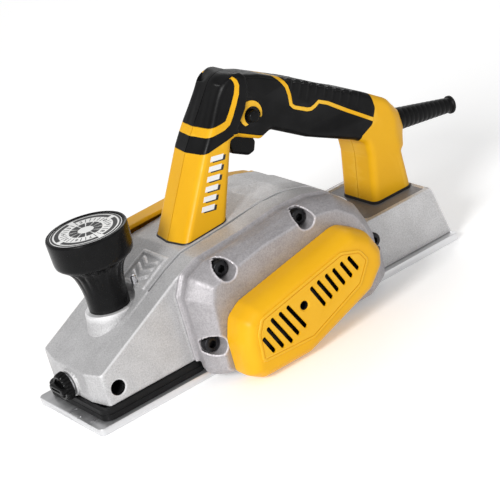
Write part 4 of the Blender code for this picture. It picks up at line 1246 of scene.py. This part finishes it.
def rear_shoe():
    side = ((122, 0, 0), (131, 5.3, 0), (290, 5.3, 0), (290, 0, 0))
    shoe = prism("rear_plate", side, -SOLE_HALF, SOLE_HALF)
    eased(shoe, 0.5)
    for place in SOLE_SCREWS:
        cut(shoe, rod("head", place, 4.5, -1, 3, "Z"), rod("shank", place, 2.3, 2, 10, "Z"))
    mount(shoe, "machined_aluminium", "rear_base")


def seal():
    """The rubber between the front shoe and the body."""
    waves = (
        (0.45, 5.3), (0.05, 5.8), (0.05, 9.2), (0.3, 9.5), (0.05, 9.8), (0.05, 13), (0.45, 13.5),
    )
    made = nested("seal_band", rectangle(7, -38, 85, 38, 7), waves, "Z")
    cut(made, prism("seal_middle", rectangle(10, -35, 82, 35, 4), 0, 20, "Z"))
    mount(made, "black_rubber", "front_base_seal")
    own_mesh(made)


# The scene round the machine, in metres.


LIT_POINT = (0, 0, 0.05)


def camera():
    azimuth, elevation, roll = -0.4962, 0.39855, -0.28
    flat = cos(elevation)
    back = Vector((sin(azimuth) * flat, -cos(azimuth) * flat, sin(elevation)))
    level = (-back).cross(Vector((0, 0, 1))).normalized()
    upright = level.cross(-back)
    across = level * cos(roll) + upright * sin(roll)
    up = upright * cos(roll) - level * sin(roll)
    lens = bpy.data.cameras.new("camera")
    lens.lens = 143.34
    lens.clip_start, lens.clip_end = 0.05, 30
    made = placed("camera", lens)
    place = TO_WORLD @ Vector((-413.38, -1052.33, 550.01))
    made.matrix_world = Matrix.Translation(place) @ Matrix((across, up, back)).transposed().to_4x4()
    bpy.context.scene.camera = made


def lamp(name, place, size, power):
    """A round soft lamp that faces the middle of the machine."""
    data = bpy.data.lights.new(name, "AREA")
    data.shape = "DISK"
    data.size = size
    data.energy = power
    made = placed(name, data)
    made.location = place
    made.rotation_euler = (Vector(LIT_POINT) - Vector(place)).to_track_quat("-Z", "Y").to_euler()


def studio():
    world = bpy.data.worlds.new("studio")
    world.use_nodes = True
    sky = world.node_tree.nodes["Background"]
    sky.inputs["Color"].default_value = (1, 1, 1, 1)
    sky.inputs["Strength"].default_value = 0.45
    bpy.context.scene.world = world
    bpy.context.scene.view_settings.view_transform = "Standard"
    lamp("key", (-1.5, -0.85, 1), 0.6, 28)
    lamp("side", (0.7, -1.6, 0.8), 0.8, 2)
    lamp("rim", (0.9, 1.1, 1.1), 0.8, 6)
    mesh = bpy.data.meshes.new("floor")
    just_below = -0.0002
    corners = [(x, y, just_below) for x, y in ((-5, -5), (5, -5), (5, 5), (-5, 5))]
    mesh.from_pydata(corners, [], [(0, 1, 2, 3)])
    floor = placed("floor", mesh)
    paper = Finish("paper", (0.93, 0.93, 0.93), 0.7)
    paper.surface.inputs["Emission Color"].default_value = (1, 1, 1, 1)
    paper.surface.inputs["Emission Strength"].default_value = 0.22
    paper.stain(paper.spread(paper.noise(400, 2), 0.4, 0.6, 0, 0.3), (0.95, 0.95, 0.95))
    mesh.materials.append(paper.material)


def build():
    make_finishes()
    finish_cad_nodes()
    camera()
    body_casting()
    casting_fittings()
    belt_side_casting()
    belt_cover()
    cover_linings()
    motor_cover()
    turned_piece("nozzle")
    handle()
    cord_guard()
    trigger()
    turned_piece("lock_key")
    depth_knob()
    turned_piece("dial_plate")
    dial()
    turned_piece("stop_pin")
    spring()
    thumb_screw()
    turned_piece("clamp_washer")
    housing_bolts()
    screws()
    front_shoe()
    rear_shoe()
    seal()
    studio()


build()
